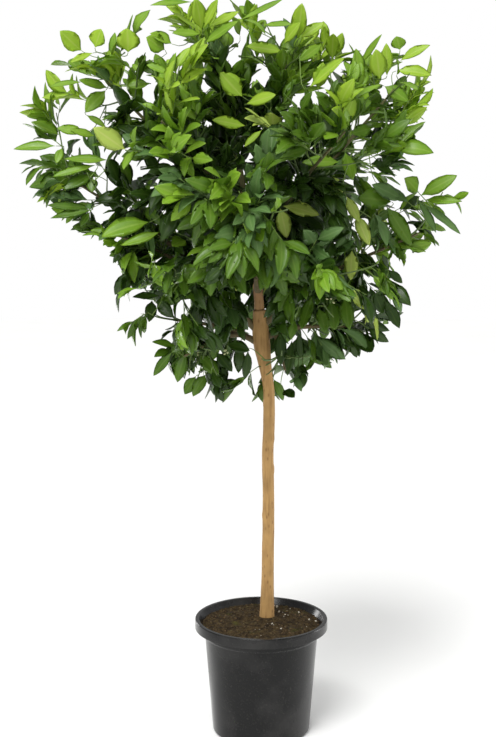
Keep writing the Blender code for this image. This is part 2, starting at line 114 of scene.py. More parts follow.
def fill(tree, slot, value):
    if isinstance(value, Value):
        tree.links.new(value.socket, slot)
    else:
        slot.default_value = value


class Look:
    # a material, and the nodes that draw it
    def __init__(self, name, colour, constants):
        self.material = bpy.data.materials.new(name)
        self.material.use_nodes = True
        self.tree = self.material.node_tree
        self.shader = self.tree.nodes["Principled BSDF"]
        self.shader.inputs["Base Color"].default_value = (*colour, 1)
        self.material.diffuse_color = (*colour, 1)
        for socket, value in constants.items():
            self.shader.inputs[socket].default_value = value

    def node(self, kind, settings, values, output=0):
        made = self.tree.nodes.new(kind)
        for key, value in settings.items():
            setattr(made, key, value)
        for key, value in values.items():
            fill(self.tree, made.inputs[key], value)
        return Value(self.tree, made.outputs[output])

    def objectPlace(self):
        return self.node("ShaderNodeTexCoord", {}, {}, "Object")

    def stretched(self, place, scale):
        return self.node("ShaderNodeMapping", {}, {"Vector": place, "Scale": scale})

    def noise(self, place, scale, detail=3.0):
        values = {"Vector": place, "Scale": scale, "Detail": detail}
        return self.node("ShaderNodeTexNoise", {}, values)

    def spread(self, value, low, high, to=(0.0, 1.0)):
        values = {"Value": value, "From Min": low, "From Max": high, "To Min": to[0], "To Max": to[1]}
        return self.node("ShaderNodeMapRange", {}, values)

    def mottle(self, place, scale, low, high, to=(0.0, 1.0), detail=3.0):
        return self.spread(self.noise(place, scale, detail), low, high, to)

    def mixed(self, share, first, second):
        first, second = [colour if isinstance(colour, Value) else (*colour, 1) for colour in (first, second)]
        return self.node("ShaderNodeMix", {"data_type": "RGBA"}, {0: share, 6: first, 7: second}, 2)

    def shows(self, socket, value):
        fill(self.tree, self.shader.inputs[socket], value)

    def bump(self, height, strength, depth):
        values = {"Height": height, "Strength": strength, "Distance": depth}
        self.shows("Normal", self.node("ShaderNodeBump", {}, values))

    def letsThrough(self, colour, share):
        # part of the light that falls on the other side of a leaf shows through it
        glow = self.node("ShaderNodeBsdfTranslucent", {}, {"Color": (*colour, 1)})
        own = Value(self.tree, self.shader.outputs[0])
        both = self.node("ShaderNodeMixShader", {}, {0: share, 1: own, 2: glow})
        fill(self.tree, self.tree.nodes["Material Output"].inputs["Surface"], both)


def scaled(colour, factor):
    return tuple(min(1.0, part * factor) for part in colour)


leafSkin = {
    "gloss": 0.38, "patchScale": 22.0, "ribWidth": 0.16, "ribShare": 0.65,
    "roughScale": 60.0, "smoother": 0.06, "rougher": 0.10, "grainScale": 420.0, "grainDepth": 0.0006,
}


def leafLook(name, tone):
    look = Look(name, tone["colour"], {"Specular IOR Level": leafSkin["gloss"]})
    place = look.objectPlace()
    patch = look.mottle(place, leafSkin["patchScale"], 0.35, 0.65)
    base = look.mixed(patch, tone["colour"], tone["second"])
    bladeMap = look.node("ShaderNodeUVMap", {"uv_map": "blade"}, {})
    across = look.node("ShaderNodeSeparateXYZ", {}, {0: bladeMap}, "Y")
    fromRib = look.spread(across.math("ABSOLUTE", across, 0.0), 0.0, leafSkin["ribWidth"])
    look.shows("Base Color", look.mixed((1 - fromRib) * leafSkin["ribShare"], base, tone["rib"]))
    rough = (tone["rough"] - leafSkin["smoother"], tone["rough"] + leafSkin["rougher"])
    look.shows("Roughness", look.mottle(place, leafSkin["roughScale"], 0.3, 0.7, rough))
    look.bump(look.noise(place, leafSkin["grainScale"], 2.0), 0.25, leafSkin["grainDepth"])
    look.letsThrough(tone["through"], tone["share"])
    return look.material


tones = {
    "lime": {"colour": (0.400, 0.600, 0.045), "second": (0.310, 0.510, 0.035), "rib": (0.510, 0.640, 0.130),
             "through": (0.56, 0.70, 0.03), "share": 0.28, "rough": 0.40},
    "fresh": {"colour": (0.245, 0.430, 0.030), "second": (0.175, 0.340, 0.022), "rib": (0.340, 0.500, 0.080),
              "through": (0.40, 0.58, 0.02), "share": 0.26, "rough": 0.36},
    "mid": {"colour": (0.112, 0.225, 0.016), "second": (0.076, 0.165, 0.012), "rib": (0.180, 0.290, 0.045),
            "through": (0.24, 0.38, 0.01), "share": 0.22, "rough": 0.32},
    "deep": {"colour": (0.036, 0.084, 0.007), "second": (0.022, 0.056, 0.005), "rib": (0.070, 0.125, 0.020),
             "through": (0.10, 0.19, 0.01), "share": 0.16, "rough": 0.30},
    "blue": {"colour": (0.125, 0.235, 0.062), "second": (0.090, 0.185, 0.046), "rib": (0.190, 0.300, 0.100),
             "through": (0.20, 0.33, 0.05), "share": 0.18, "rough": 0.44},
    "yellow": {"colour": (0.500, 0.640, 0.130), "second": (0.430, 0.570, 0.100), "rib": (0.640, 0.680, 0.220),
               "through": (0.66, 0.72, 0.09), "share": 0.28, "rough": 0.42},
}


barks = {
    "strawBark": {"light": (0.520, 0.310, 0.115), "dark": (0.240, 0.125, 0.045),
                  "top": (0.400, 0.225, 0.120), "topFrom": 0.86, "speckle": 0.80},
    "oliveBark": {"light": (0.150, 0.120, 0.055), "dark": (0.070, 0.050, 0.025),
                  "top": (0.120, 0.120, 0.045), "topFrom": 1.05, "speckle": 0.60},
}
barkGrain = {
    "along": 0.12, "scale": 170.0, "blotchScale": 32.0, "blotchDark": 0.80, "topOver": 0.08,
    "dotsAlong": 0.5, "dotScale": 95.0, "dotSize": (0.08, 0.26), "depth": 0.0010,
}


def barkLook(name):
    bark = barks[name]
    light, dark, topFrom = bark["light"], bark["dark"], bark["topFrom"]
    look = Look(name, light, {"Specular IOR Level": 0.3})
    place = look.objectPlace()
    grain = look.noise(look.stretched(place, (1.0, 1.0, barkGrain["along"])), barkGrain["scale"], 5.0)
    blotch = look.mottle(place, barkGrain["blotchScale"], 0.35, 0.70)
    base = look.mixed(blotch, light, scaled(light, barkGrain["blotchDark"]))
    base = look.mixed(look.spread(grain, 0.45, 0.80, (0.0, 0.75)), base, dark)
    height = look.node("ShaderNodeSeparateXYZ", {}, {0: place}, "Z")
    upper = look.spread(height, topFrom, topFrom + barkGrain["topOver"], (0.0, 0.8))
    base = look.mixed(upper, base, bark["top"])
    dotPlace = look.stretched(place, (1.0, 1.0, barkGrain["dotsAlong"]))
    dots = look.node("ShaderNodeTexVoronoi", {}, {"Vector": dotPlace, "Scale": barkGrain["dotScale"]})
    base = look.mixed((1 - look.spread(dots, *barkGrain["dotSize"])) * bark["speckle"], base, dark)
    look.shows("Base Color", base)
    look.shows("Roughness", look.spread(grain, 0.2, 0.8, (0.62, 0.82)))
    look.bump(grain, 0.5, barkGrain["depth"])
    return look.material


def twigLook(name, colour, second):
    look = Look(name, colour, {})
    place = look.objectPlace()
    look.shows("Base Color", look.mixed(look.mottle(place, 45.0, 0.35, 0.65), colour, second))
    look.shows("Roughness", look.mottle(place, 90.0, 0.2, 0.8, (0.50, 0.70)))
    look.bump(look.noise(place, 500.0), 0.3, 0.0004)
    return look.material


potFinish = {
    "solid": (0.006, 0.006, 0.006), "black": (0.004, 0.004, 0.004), "dust": (0.032, 0.031, 0.030),
    "specks": (0.085, 0.080, 0.072), "gloss": 0.26, "dustShare": 0.8, "dustRough": 0.16,
    "rough": (0.12, 0.24), "grainScale": 700.0, "grainDepth": 0.0006,
}


def potLook():
    # moulded black plastic with dusty smudges and rubbed patches
    look = Look("potPlastic", potFinish["solid"], {"Specular IOR Level": potFinish["gloss"]})
    place = look.objectPlace()
    streak = look.noise(look.stretched(place, (1.0, 1.0, 0.25)), 14.0, 4.0)
    dust = look.mottle(place, 9.0, 0.48, 0.72, detail=6.0)
    specks = look.mottle(place, 260.0, 0.62, 0.72, (0.0, 0.25), 2.0)
    base = look.mixed(dust * potFinish["dustShare"], potFinish["black"], potFinish["dust"])
    look.shows("Base Color", look.mixed(specks, base, potFinish["specks"]))
    rough = look.spread(streak, 0.3, 0.7, potFinish["rough"])
    look.shows("Roughness", rough + dust * potFinish["dustRough"])
    grain = look.noise(place, potFinish["grainScale"], 2.0)
    look.bump(grain + streak * 0.6, 0.12, potFinish["grainDepth"])
    return look.material


soilColours = {"dark": (0.018, 0.011, 0.005), "light": (0.075, 0.050, 0.020), "moss": (0.070, 0.075, 0.012)}


def soilLook(name, moss):
    dark = soilColours["dark"]
    look = Look(name, dark, {"Specular IOR Level": 0.2})
    place = look.objectPlace()
    base = look.mixed(look.mottle(place, 120.0, 0.35, 0.70, detail=6.0), dark, soilColours["light"])
    mossy = look.mottle(place, 26.0, 0.60, 0.76, (0.0, moss), 4.0)
    look.shows("Base Color", look.mixed(mossy, base, soilColours["moss"]))
    look.shows("Roughness", look.mottle(place, 60.0, 0.3, 0.7, (0.82, 1.0)))
    look.bump(look.noise(place, 300.0, 6.0), 0.8, 0.0020)
    return look.material


def plainLook(name, colour, second, rough):
    look = Look(name, colour, {})
    place = look.objectPlace()
    look.shows("Base Color", look.mixed(look.mottle(place, 180.0, 0.35, 0.65), colour, second))
    look.shows("Roughness", look.mottle(place, 90.0, 0.3, 0.7, (rough - 0.06, rough + 0.06)))
    return look.material


def linked(name, data):
    obj = bpy.data.objects.new(name, data)
    bpy.context.scene.collection.objects.link(obj)
    return obj


# Meshes from arrays
def meshFrom(name, points, faces, material, uv=None):
    # faces is a list of index arrays, each with its own number of corners
    mesh = bpy.data.meshes.new(name)
    points = np.asarray(points, np.float32).reshape(-1, 3)
    mesh.vertices.add(len(points))
    mesh.vertices.foreach_set("co", points.ravel())
    loops = np.concatenate([group.ravel() for group in faces]).astype(np.int32)
    sizes = np.concatenate([np.full(len(group), group.shape[1]) for group in faces])
    mesh.loops.add(len(loops))
    mesh.loops.foreach_set("vertex_index", loops)
    mesh.polygons.add(len(sizes))
    starts = np.concatenate([[0], np.cumsum(sizes)[:-1]]).astype(np.int32)
    mesh.polygons.foreach_set("loop_start", starts)
    if uv is not None:
        layer = mesh.uv_layers.new(name="blade")
        layer.data.foreach_set("uv", np.asarray(uv, np.float32)[loops].ravel())
    mesh.update(calc_edges=True)
    mesh.shade_smooth()
    mesh.materials.append(material)
    return linked(name, mesh)


def loftFaces(rings, sides):
    # quads between rings of points, for one tube whose points run ring by ring
    ring, side = np.meshgrid(np.arange(rings - 1), np.arange(sides), indexing="ij")
    following = (side + 1) % sides
    here, ahead = ring * sides, (ring + 1) * sides
    quads = [here + side, here + following, ahead + following, ahead + side]
    return np.stack(quads, -1).reshape(-1, 4)


def capFaces(rings, sides):
    # triangles to the two poles, which follow the rings
    side = np.arange(sides)
    following = (side + 1) % sides
    last = (rings - 1) * sides
    foot = np.stack([following, side, np.full(sides, rings * sides)], -1)
    head = np.stack([last + side, last + following, np.full(sides, rings * sides + 1)], -1)
    return np.concatenate([foot, head])


def unit(vectors):
    return vectors / np.maximum(np.linalg.norm(vectors, axis=-1, keepdims=True), 1e-9)


def tubePoints(line, radii, sides, relief=None):
    # rings round a line, carried along it without twist, and its two poles
    line = np.array([tuple(point) for point in line])
    ways = unit(np.gradient(line, axis=0))
    side = Vector(ways[0]).orthogonal().normalized()
    rings = []
    for middle, way, radius in zip(line, ways, radii):
        way = Vector(way)
        side = (side - way * side.dot(way)).normalized()
        other = way.cross(side)
        for i in range(sides):
            angle = math.tau * i / sides
            out = side * math.cos(angle) + other * math.sin(angle)
            reach = radius * (relief(Vector(middle), out, angle) if relief else 1.0)
            rings.append(Vector(middle) + out * reach)
    return np.array([tuple(point) for point in [*rings, line[0], line[-1]]])


class Tubes:
    # many tubes that become one mesh
    def __init__(self):
        self.points = []
        self.quads = []
        self.triangles = []
        self.count = 0

    def add(self, line, radii, sides, relief=None):
        points = tubePoints(line, radii, sides, relief)
        self.points.append(points)
        self.quads.append(loftFaces(len(line), sides) + self.count)
        self.triangles.append(capFaces(len(line), sides) + self.count)
        self.count += len(points)

    def made(self, name, material):
        faces = [np.concatenate(self.quads), np.concatenate(self.triangles)]
        return meshFrom(name, np.concatenate(self.points), faces, material)


# The skeleton, by the same rule as the solids
trunk = {
    "line": [(0.0124, 0.028, 0.2373), (0.0132, 0.028, 0.280), (0.0142, 0.028, 0.360),
             (0.0152, 0.027, 0.430), (0.0150, 0.026, 0.515), (0.0133, 0.026, 0.590),
             (0.0157, 0.025, 0.655), (0.0154, 0.024, 0.725), (0.0100, 0.023, 0.765),
             (0.0020, 0.022, 0.815), (-0.0020, 0.022, 0.850), (-0.0045, 0.022, 0.896)],
    "steps": 2, "fineSteps": 14, "sides": 36,
    "radius": 0.0131, "topRadius": 0.0115,
    "flare": 0.0035, "flareHeight": 0.045,
    "headSwell": 0.0060, "headHeight": 0.835, "headSpread": 0.050,
    # each knot's height and turn round the trunk, and the bulge and dent that all have: share of
    # the radius, height and sharpness
    "knots": [(0.2700, 1.2), (0.3450, 4.4), (0.4600, 2.6), (0.5600, 5.3), (0.6260, 4.9), (0.7000, 1.9)],
    "knotShapes": [(0.16, 0.007, 6), (-0.07, 0.0025, 30)],
    "leaderInside": 0.010, "leaderFoot": 1.03, "levelled": 0.0012,
}

# each mass: name, furthest point, second shoot, limb it leaves and at what share of that limb
masses = [
    ("top_left", (-0.104, 0.010, 1.530), (-0.182, 0.050, 1.512), "trunk", 1.00),
    ("top_right", (0.081, 0.000, 1.526), (0.175, 0.050, 1.410), "top_left", 0.62),
    ("upper_left", (-0.401, -0.050, 1.451), (-0.290, 0.000, 1.450), "top_left", 0.40),
    ("far_left", (-0.501, 0.000, 1.241), (-0.432, 0.050, 1.354), "trunk", 0.90),
    ("left_low", (-0.434, 0.000, 1.108), (-0.313, -0.120, 1.040), "far_left", 0.42),
    ("lower_left", (-0.291, 0.020, 0.890), (-0.279, 0.000, 0.985), "trunk", 0.84),
    ("bottom_left", (-0.227, -0.050, 0.771), (-0.144, 0.000, 0.722), "lower_left", 0.45),
    ("lower_right", (0.288, 0.020, 0.862), (0.289, 0.000, 1.000), "trunk", 0.87),
    ("bottom_right", (0.062, -0.035, 0.723), (0.100, 0.050, 0.784), "lower_right", 0.30),
    ("far_right", (0.422, 0.000, 1.102), (0.398, 0.030, 1.176), "trunk", 0.93),
    ("upper_right", (0.334, -0.030, 1.424), (0.320, 0.050, 1.290), "top_left", 0.28),
    ("front_high_left", (-0.240, -0.290, 1.330), (-0.140, -0.270, 1.410), "top_left", 0.50),
    ("front_high_right", (0.200, -0.300, 1.310), (0.110, -0.290, 1.400), "top_left", 0.42),
    ("front_middle", (-0.030, -0.400, 1.150), (0.070, -0.380, 1.110), "top_left", 0.15),
    ("front_low_left", (-0.230, -0.270, 0.930), (-0.130, -0.310, 0.900), "front_middle", 0.30),
    ("front_low_right", (0.200, -0.280, 0.940), (0.270, -0.170, 1.010), "front_middle", 0.45),
    ("back_high_left", (-0.220, 0.300, 1.310), (-0.120, 0.290, 1.400), "top_left", 0.57),
    ("back_high_right", (0.220, 0.290, 1.330), (0.130, 0.280, 1.400), "top_left", 0.32),
    ("back_middle", (0.000, 0.400, 1.130), (-0.090, 0.380, 1.100), "top_left", 0.06),
    ("back_low_left", (-0.200, 0.280, 0.920), (-0.270, 0.180, 1.000), "back_middle", 0.45),
    ("back_low_right", (0.190, 0.280, 0.930), (0.110, 0.310, 0.900), "back_middle", 0.30),
]
outlineMasses = 11  # the first ones, whose tips are the crown's corners seen from -Y
heart = Vector((-0.020, 0.000, 1.120))
crownDepth = 0.420

bough = {
    "share": 0.32, "arch": 0.06, "levelling": 0.5, "forward": 0.3,
    "radius": 0.0078, "leaderRadius": 0.0105, "sideScale": 0.8, "taper": 0.60,
    "steps": 5, "fineSteps": 16, "sides": 14, "gap": 0.0003,
}
room = {"radius": 0.170, "middle": 0.52, "halfLength": 0.56}
stem = {"steps": 4, "fineSteps": 12, "tipRadius": 0.0019, "sides": 8, "bare": 0.06, "inside": 0.004}
twig = {
    "perMass": 9, "radius": 0.0021, "tipRadius": 0.0011, "spread": 0.9, "margin": 0.020,
    "tries": 60, "bare": 0.12, "sides": 6, "solidLeaf": 0.130, "sizes": (0.30, 0.95), "behind": -0.1,
    "reach": 0.96, "shortest": 0.45, "leafShare": 0.85, "further": 0.45, "ahead": 0.05, "lift": 0.03,
    "steps": 6,
}
seed = 7


def smoothLine(points, steps):
    ends = [2 * points[0] - points[1], *points, 2 * points[-1] - points[-2]]
    line = []
    for a, b, c, d in zip(ends, ends[1:], ends[2:], ends[3:]):
        for i in range(steps):
            t = i / steps
            bend = (2 * a - 5 * b + 4 * c - d) * t**2 + (3 * b - a - 3 * c + d) * t**3
            line.append(0.5 * (2 * b + (c - a) * t + bend))
    return [*line, points[-1]]


def arcLine(start, startWay, end, endWay, steps):
    reach = (end - start).length / 3
    a = start + startWay.normalized() * reach
    b = end - endWay.normalized() * reach
    line = []
    for i in range(steps + 1):
        t = i / steps
        s = 1 - t
        line.append(s**3 * start + 3 * s * s * t * a + 3 * s * t * t * b + t**3 * end)
    return line


def along(line, share):
    x = min(max(share, 0.0), 1.0) * (len(line) - 1)
    i = min(int(x), len(line) - 2)
    return line[i].lerp(line[i + 1], x - i), (line[i + 1] - line[i]).normalized()


def tapered(start, end, count):
    return [start + (end - start) * i / (count - 1) for i in range(count)]


def trunkRadius(height):
    foot, head = trunk["line"][0][2], trunk["line"][-1][2]
    share = (height - foot) / (head - foot)
    flare = trunk["flare"] * math.exp(-(height - foot) / trunk["flareHeight"])
    swell = trunk["headSwell"] * math.exp(-(((height - trunk["headHeight"]) / trunk["headSpread"]) ** 2))
    return trunk["radius"] + (trunk["topRadius"] - trunk["radius"]) * share + flare + swell


class Limb:
    def __init__(self, line, fine, radii):
        self.line = line
        self.fine = fine
        self.radii = radii


def planLimbs():
    points = [Vector(point) for point in trunk["line"]]
    coarse = smoothLine(points, trunk["steps"])
    fine = smoothLine(points, trunk["fineSteps"])
    limbs = {"trunk": Limb(coarse, fine, [trunkRadius(point.z) for point in fine])}
    for name, tip, second, parent, share in masses:
        start, way = along(limbs[parent].line, share)
        tip = Vector(tip)
        leads = share == 1.0
        if leads:
            start = start + way * bough["gap"]
        entry = start.lerp(tip, bough["share"])
        entry.z += bough["arch"] * (tip - start).length
        away = (entry - start).normalized()
        away.z *= bough["levelling"]
        startWay = way if leads else away + bough["forward"] * way
        thick = bough["leaderRadius"] if leads else bough["radius"]
        if parent not in ("trunk", "top_left"):
            thick *= bough["sideScale"]
        coarse = arcLine(start, startWay, entry, tip - entry, bough["steps"])
        fine = arcLine(start, startWay, entry, tip - entry, bough["fineSteps"])
        limbs[name] = Limb(coarse, fine, tapered(thick, thick * bough["taper"], len(fine)))
    return limbs


class Room:
    def __init__(self, tip, entry):
        shoot = tip - entry
        self.entry = entry
        self.middle = entry + room["middle"] * shoot
        self.axis = shoot.normalized()
        self.halfLength = room["halfLength"] * shoot.length
        self.neighbours = []

    def margin(self, point):
        margins = []
        for other in self.neighbours:
            halfway = (other.middle + self.middle) / 2
            margins.append((halfway - point).dot((other.middle - self.middle).normalized()))
        return min(margins)

    def pointAt(self, way, size):
        side = self.axis.orthogonal().normalized()
        other = self.axis.cross(side)
        across = (side * way.y + other * way.z) * room["radius"]
        return self.middle + size * (self.axis * way.x * self.halfLength + across)


def crownOutline():
    corners = []
    for mass in masses[:outlineMasses]:
        for tip in mass[1:3]:
            across, _, up = Vector(tip) - heart
            corners.append((math.atan2(up, across), math.hypot(up, across)))
    corners.sort()
    first, last = corners[0], corners[-1]
    return [(last[0] - math.tau, last[1]), *corners, (first[0] + math.tau, first[1])]


outline = crownOutline()


def crownShare(point):
    # 0 at the heart of the crown and 1 at its outer shape
    across, deep, up = point - heart
    angle = math.atan2(up, across)
    for (a, near), (b, far) in zip(outline, outline[1:]):
        if a <= angle <= b:
            radius = near + (far - near) * (angle - a) / (b - a)
            break
    return math.hypot(math.hypot(up, across) / radius, deep / crownDepth)


def randomWay(rng):
    return Vector([rng.gauss(0, 1) for _ in range(3)]).normalized()


def twigGoals(space, taken, rng):
    goals = list(taken)
    for _ in range(twig["perMass"] - 1):
        best, bestGap = None, 0.0
        for _ in range(twig["tries"]):
            point = space.pointAt(randomWay(rng), rng.uniform(*twig["sizes"]))
            behind = (point - space.entry).dot(space.axis) < twig["behind"] * space.halfLength
            if behind or space.margin(point) < twig["margin"] or crownShare(point) > twig["reach"]:
                continue
            gap = min((point - goal).length for goal in goals)
            if gap > bestGap:
                best, bestGap = point, gap
        if best is not None:
            goals.append(best)
    return goals[1:]


def forkShare(line, goal):
    costs = []
    for i in range(2, 19):
        fork, way = along(line, i / 20)
        rel = goal - fork
        costs.append((abs(rel.angle(way) - twig["spread"]) * rel.length, i / 20))
    return min(costs)[1]


def shootEnd(fork, goal):
    reach = (goal - fork).length
    share = 1 - twig["leafShare"] * twig["solidLeaf"] / reach
    return fork.lerp(goal, max(twig["shortest"], share))


# Sky that shows through the crown in the photograph, and the stretches of trunk that nothing
# hides: x, y and radius in its pixels
skyWindows = [
    (238, 33, 9), (233, 60, 7), (243, 51, 3), (261, 51, 5), (263, 77, 8), (206, 89, 5), (179, 69, 4),
    (178, 46, 7), (192, 46, 3), (278, 33, 5), (298, 100, 5), (292, 115, 4), (297, 85, 3), (155, 92, 6),
    (310, 60, 3), (240, 104, 2), (148, 95, 7), (109, 104, 9), (141, 117, 7), (139, 49, 6), (65, 140, 6),
    (86, 150, 6), (90, 168, 4), (105, 183, 6), (114, 190, 5), (86, 194, 8), (98, 206, 5), (101, 217, 6),
    (141, 133, 4), (169, 163, 5), (181, 152, 4), (214, 130, 4), (204, 125, 3), (187, 128, 3), (358, 122, 8),
    (342, 147, 3), (358, 149, 6), (369, 159, 5), (363, 174, 4), (158, 262, 4), (150, 276, 3), (145, 290, 3),
    (190, 280, 3), (221, 297, 4), (215, 305, 3), (204, 301, 3), (186, 306, 9), (192, 320, 3), (241, 298, 4),
    (230, 336, 4), (170, 340, 6), (234, 376, 5), (206, 383, 4), (352, 285, 3), (332, 273, 3), (368, 252, 7),
    (361, 315, 4), (369, 282, 7), (286, 381, 6), (281, 371, 4), (243, 388, 8), (160, 318, 14), (145, 305, 8),
]
trunkInView = [(256, 281, 5), (257, 291, 5), (257, 334, 7), (258, 344, 8), (260, 355, 8), (262, 366, 9),
               (263, 377, 9), (264, 388, 9)]


# Sprays that stand out in the photograph. Each has a depth, a tone, and its leaves as root x, y,
# tip x, y and width in pixels
# the lime tones high in the crown are partly painted light, the deep and mid tones low in it partly painted
# shade
sprays = [
    (0.00, "lime", [(202, 30, 196, -2, 17), (204, 28, 218, -1, 12), (199, 30, 171, 11, 8),
        (208, 27, 239, 11, 11)]),
    (-0.02, "fresh", [(201, 34, 172, 32, 13), (204, 44, 238, 20, 15), (192, 2, 150, 5, 9),
        (172, 44, 150, 33, 17)]),
    (0.00, "lime", [(298, 40, 302, 3, 17), (300, 38, 325, 23, 12), (284, 44, 300, 22, 15),
        (284, 52, 246, 47, 14)]),
    (0.02, "fresh", [(240, 20, 284, 0, 9), (263, 25, 292, 23, 9), (240, 36, 232, 16, 13)]),
    (-0.04, "lime", [(82, 51, 59, 32, 18), (95, 48, 101, 29, 19), (128, 53, 128, 28, 24),
        (93, 53, 70, 62, 7)]),
    (-0.03, "fresh", [(108, 88, 79, 80, 10), (82, 82, 49, 87, 9), (106, 90, 86, 113, 16),
        (150, 84, 127, 86, 14), (86, 115, 106, 127, 7), (165, 50, 146, 38, 20)]),
    (-0.02, "lime", [(380, 80, 376, 49, 19), (387, 76, 387, 43, 12), (400, 61, 430, 44, 11),
        (396, 71, 432, 73, 15)]),
    (0.00, "fresh", [(361, 64, 381, 33, 9), (384, 86, 409, 101, 16), (400, 50, 397, 36, 15),
        (322, 44, 300, 62, 12)]),
    (-0.06, "lime", [(309, 88, 345, 58, 20), (318, 90, 322, 62, 15), (243, 97, 219, 73, 20),
        (246, 104, 276, 95, 15), (246, 126, 212, 120, 14), (262, 130, 244, 147, 9)]),
    (-0.02, "fresh", [(56, 146, 13, 147, 12), (84, 132, 57, 127, 12), (95, 136, 70, 130, 9),
        (62, 148, 56, 163, 9)]),
    (-0.16, "yellow", [(126, 150, 93, 128, 20), (282, 206, 320, 214, 15), (280, 208, 288, 238, 15)]),
    (-0.04, "fresh", [(108, 160, 64, 160, 13), (96, 165, 52, 177, 10)]),
    (-0.03, "mid", [(94, 172, 64, 190, 15), (92, 178, 92, 192, 12), (92, 208, 47, 204, 10),
        (92, 210, 50, 218, 11), (90, 212, 80, 226, 10)]),
    (-0.12, "fresh", [(150, 222, 100, 234, 24), (160, 232, 121, 246, 13), (186, 240, 172, 246, 16)]),
    (-0.02, "fresh", [(420, 196, 457, 175, 17), (418, 192, 405, 178, 17), (424, 200, 462, 202, 11)]),
    (0.00, "blue", [(418, 200, 436, 233, 9), (424, 204, 460, 235, 10), (404, 200, 372, 184, 16),
        (380, 186, 408, 201, 13)]),
    (-0.02, "mid", [(392, 202, 358, 196, 22), (386, 206, 413, 245, 17), (372, 128, 352, 134, 14)]),
    (-0.06, "fresh", [(340, 162, 302, 161, 14), (345, 152, 352, 180, 16)]),
    (-0.08, "yellow", [(346, 196, 360, 222, 11), (356, 214, 368, 246, 13), (352, 250, 350, 280, 14)]),
    (0.00, "deep", [(384, 300, 400, 328, 13), (374, 292, 384, 314, 14), (388, 270, 402, 284, 9),
        (388, 268, 383, 254, 6)]),
    (-0.02, "mid", [(330, 300, 336, 330, 17), (345, 296, 348, 330, 15), (312, 296, 302, 330, 13),
        (318, 308, 326, 332, 14)]),
    (0.00, "deep", [(298, 332, 302, 360, 9), (292, 340, 288, 376, 11), (283, 390, 294, 397, 12),
        (280, 330, 282, 366, 12)]),
    (0.00, "mid", [(176, 346, 152, 341, 10), (172, 352, 153, 376, 10), (170, 350, 154, 356, 10),
        (186, 352, 176, 382, 14), (196, 376, 184, 394, 12), (206, 374, 192, 396, 14),
        (198, 354, 220, 374, 14)]),
    (-0.02, "deep", [(212, 372, 220, 388, 11), (226, 344, 250, 350, 13), (248, 350, 246, 380, 10),
        (160, 296, 132, 296, 9), (156, 300, 174, 317, 13), (152, 300, 150, 322, 12),
        (216, 352, 232, 372, 12)]),
]
heroSettings = {
    "stalk": 0.014, "inFront": 0.02, "discsAt": (0.3, 0.5, 0.7, 0.9), "discEdge": 2,
    "jitter": 0.012, "tipForward": 0.03, "facing": (0, -0.85, 0.55), "tilt": 0.35, "widen": 1.04,
    "calmer": {"arch": 0.5, "droop": 0.3, "fold": 0.7, "bend": 0.5}, "thicker": 1.2, "steps": 5,
}


def sprayDiscs():
    # where the sprays placed by the photograph show: nothing grows across their view
    discs = []
    for depth, _, leaves in sprays:
        for rootX, rootY, tipX, tipY, width in leaves:
            radius = width * 0.5 + heroSettings["discEdge"]
            for t in heroSettings["discsAt"]:
                discs.append((rootX + (tipX - rootX) * t, rootY + (tipY - rootY) * t, radius, depth))
    return discs


heroDiscs = sprayDiscs()


def inDiscs(x, y, discs):
    return any((x - a) ** 2 + (y - b) ** 2 < r * r for a, b, r in discs)


def keepsSky(points):
    for point in points:
        x, y = toPixel(point)
        if any(point.y < depth + heroSettings["inFront"] and (x - a) ** 2 + (y - b) ** 2 < r * r
               for a, b, r, depth in heroDiscs):
            return False
        if inDiscs(x, y, skyWindows):
            return False
        if point.y < trunk["line"][0][1] and inDiscs(x, y, trunkInView):
            return False
    return True


boxMargin = Vector((0.001, 0.001, 0.001))
boxLow = Vector(cadBox[0]) + boxMargin
boxHigh = Vector(cadBox[1]) - boxMargin


def insideBox(point):
    return all(low < part < high for low, part, high in zip(boxLow, point, boxHigh))


# Leaves: where each grows, and the blade that all share
blade = {
    "stations": [0.04, 0.13, 0.26, 0.42, 0.60, 0.78, 0.92],
    "across": [-1.0, -0.5, 0.0, 0.5, 1.0, 0.5, 0.0, -0.5],
    "under": [0, 0, 0, 0, 0, 1, 1, 1],
    "stalk": 0.10, "stalkWidth": 0.0013, "stalkEnd": 0.98,
    "thickness": 0.0007, "ridge": 0.0006, "groove": 0.0003, "thinUnder": 0.004,
    "rootPower": 0.72, "tipPower": 0.92, "widest": 0.439,
    "ripples": 11, "rippleTurn": 1.2, "droopPower": 2.5, "shortening": 0.06,
    "samples": (0.30, 0.55, 0.80, 1.00), "sampleWidth": 0.42,
    "perPiece": 1500,
}
leafShape = {  # what each leaf draws for itself, in this order
    "fold": (0.10, 0.42), "arch": (-0.02, 0.16), "droop": (0.00, 0.20), "wave": (0.02, 0.16),
    "phase": (0, math.tau), "twist": (-0.35, 0.35), "bend": (-0.10, 0.10),
}


class Leaf:
    def __init__(self, root, way, face, length, width, rng):
        self.root = root
        self.way = way
        self.face = face
        self.length = length
        self.width = width
        for name, limits in leafShape.items():
            setattr(self, name, rng.uniform(*limits))

    def samples(self):
        side = self.way.cross(self.face).normalized() * self.width * blade["sampleWidth"]
        low, middle, high, tip = [self.root + self.way * self.length * share for share in blade["samples"]]
        return [middle, low, high, middle + side, middle - side, tip]


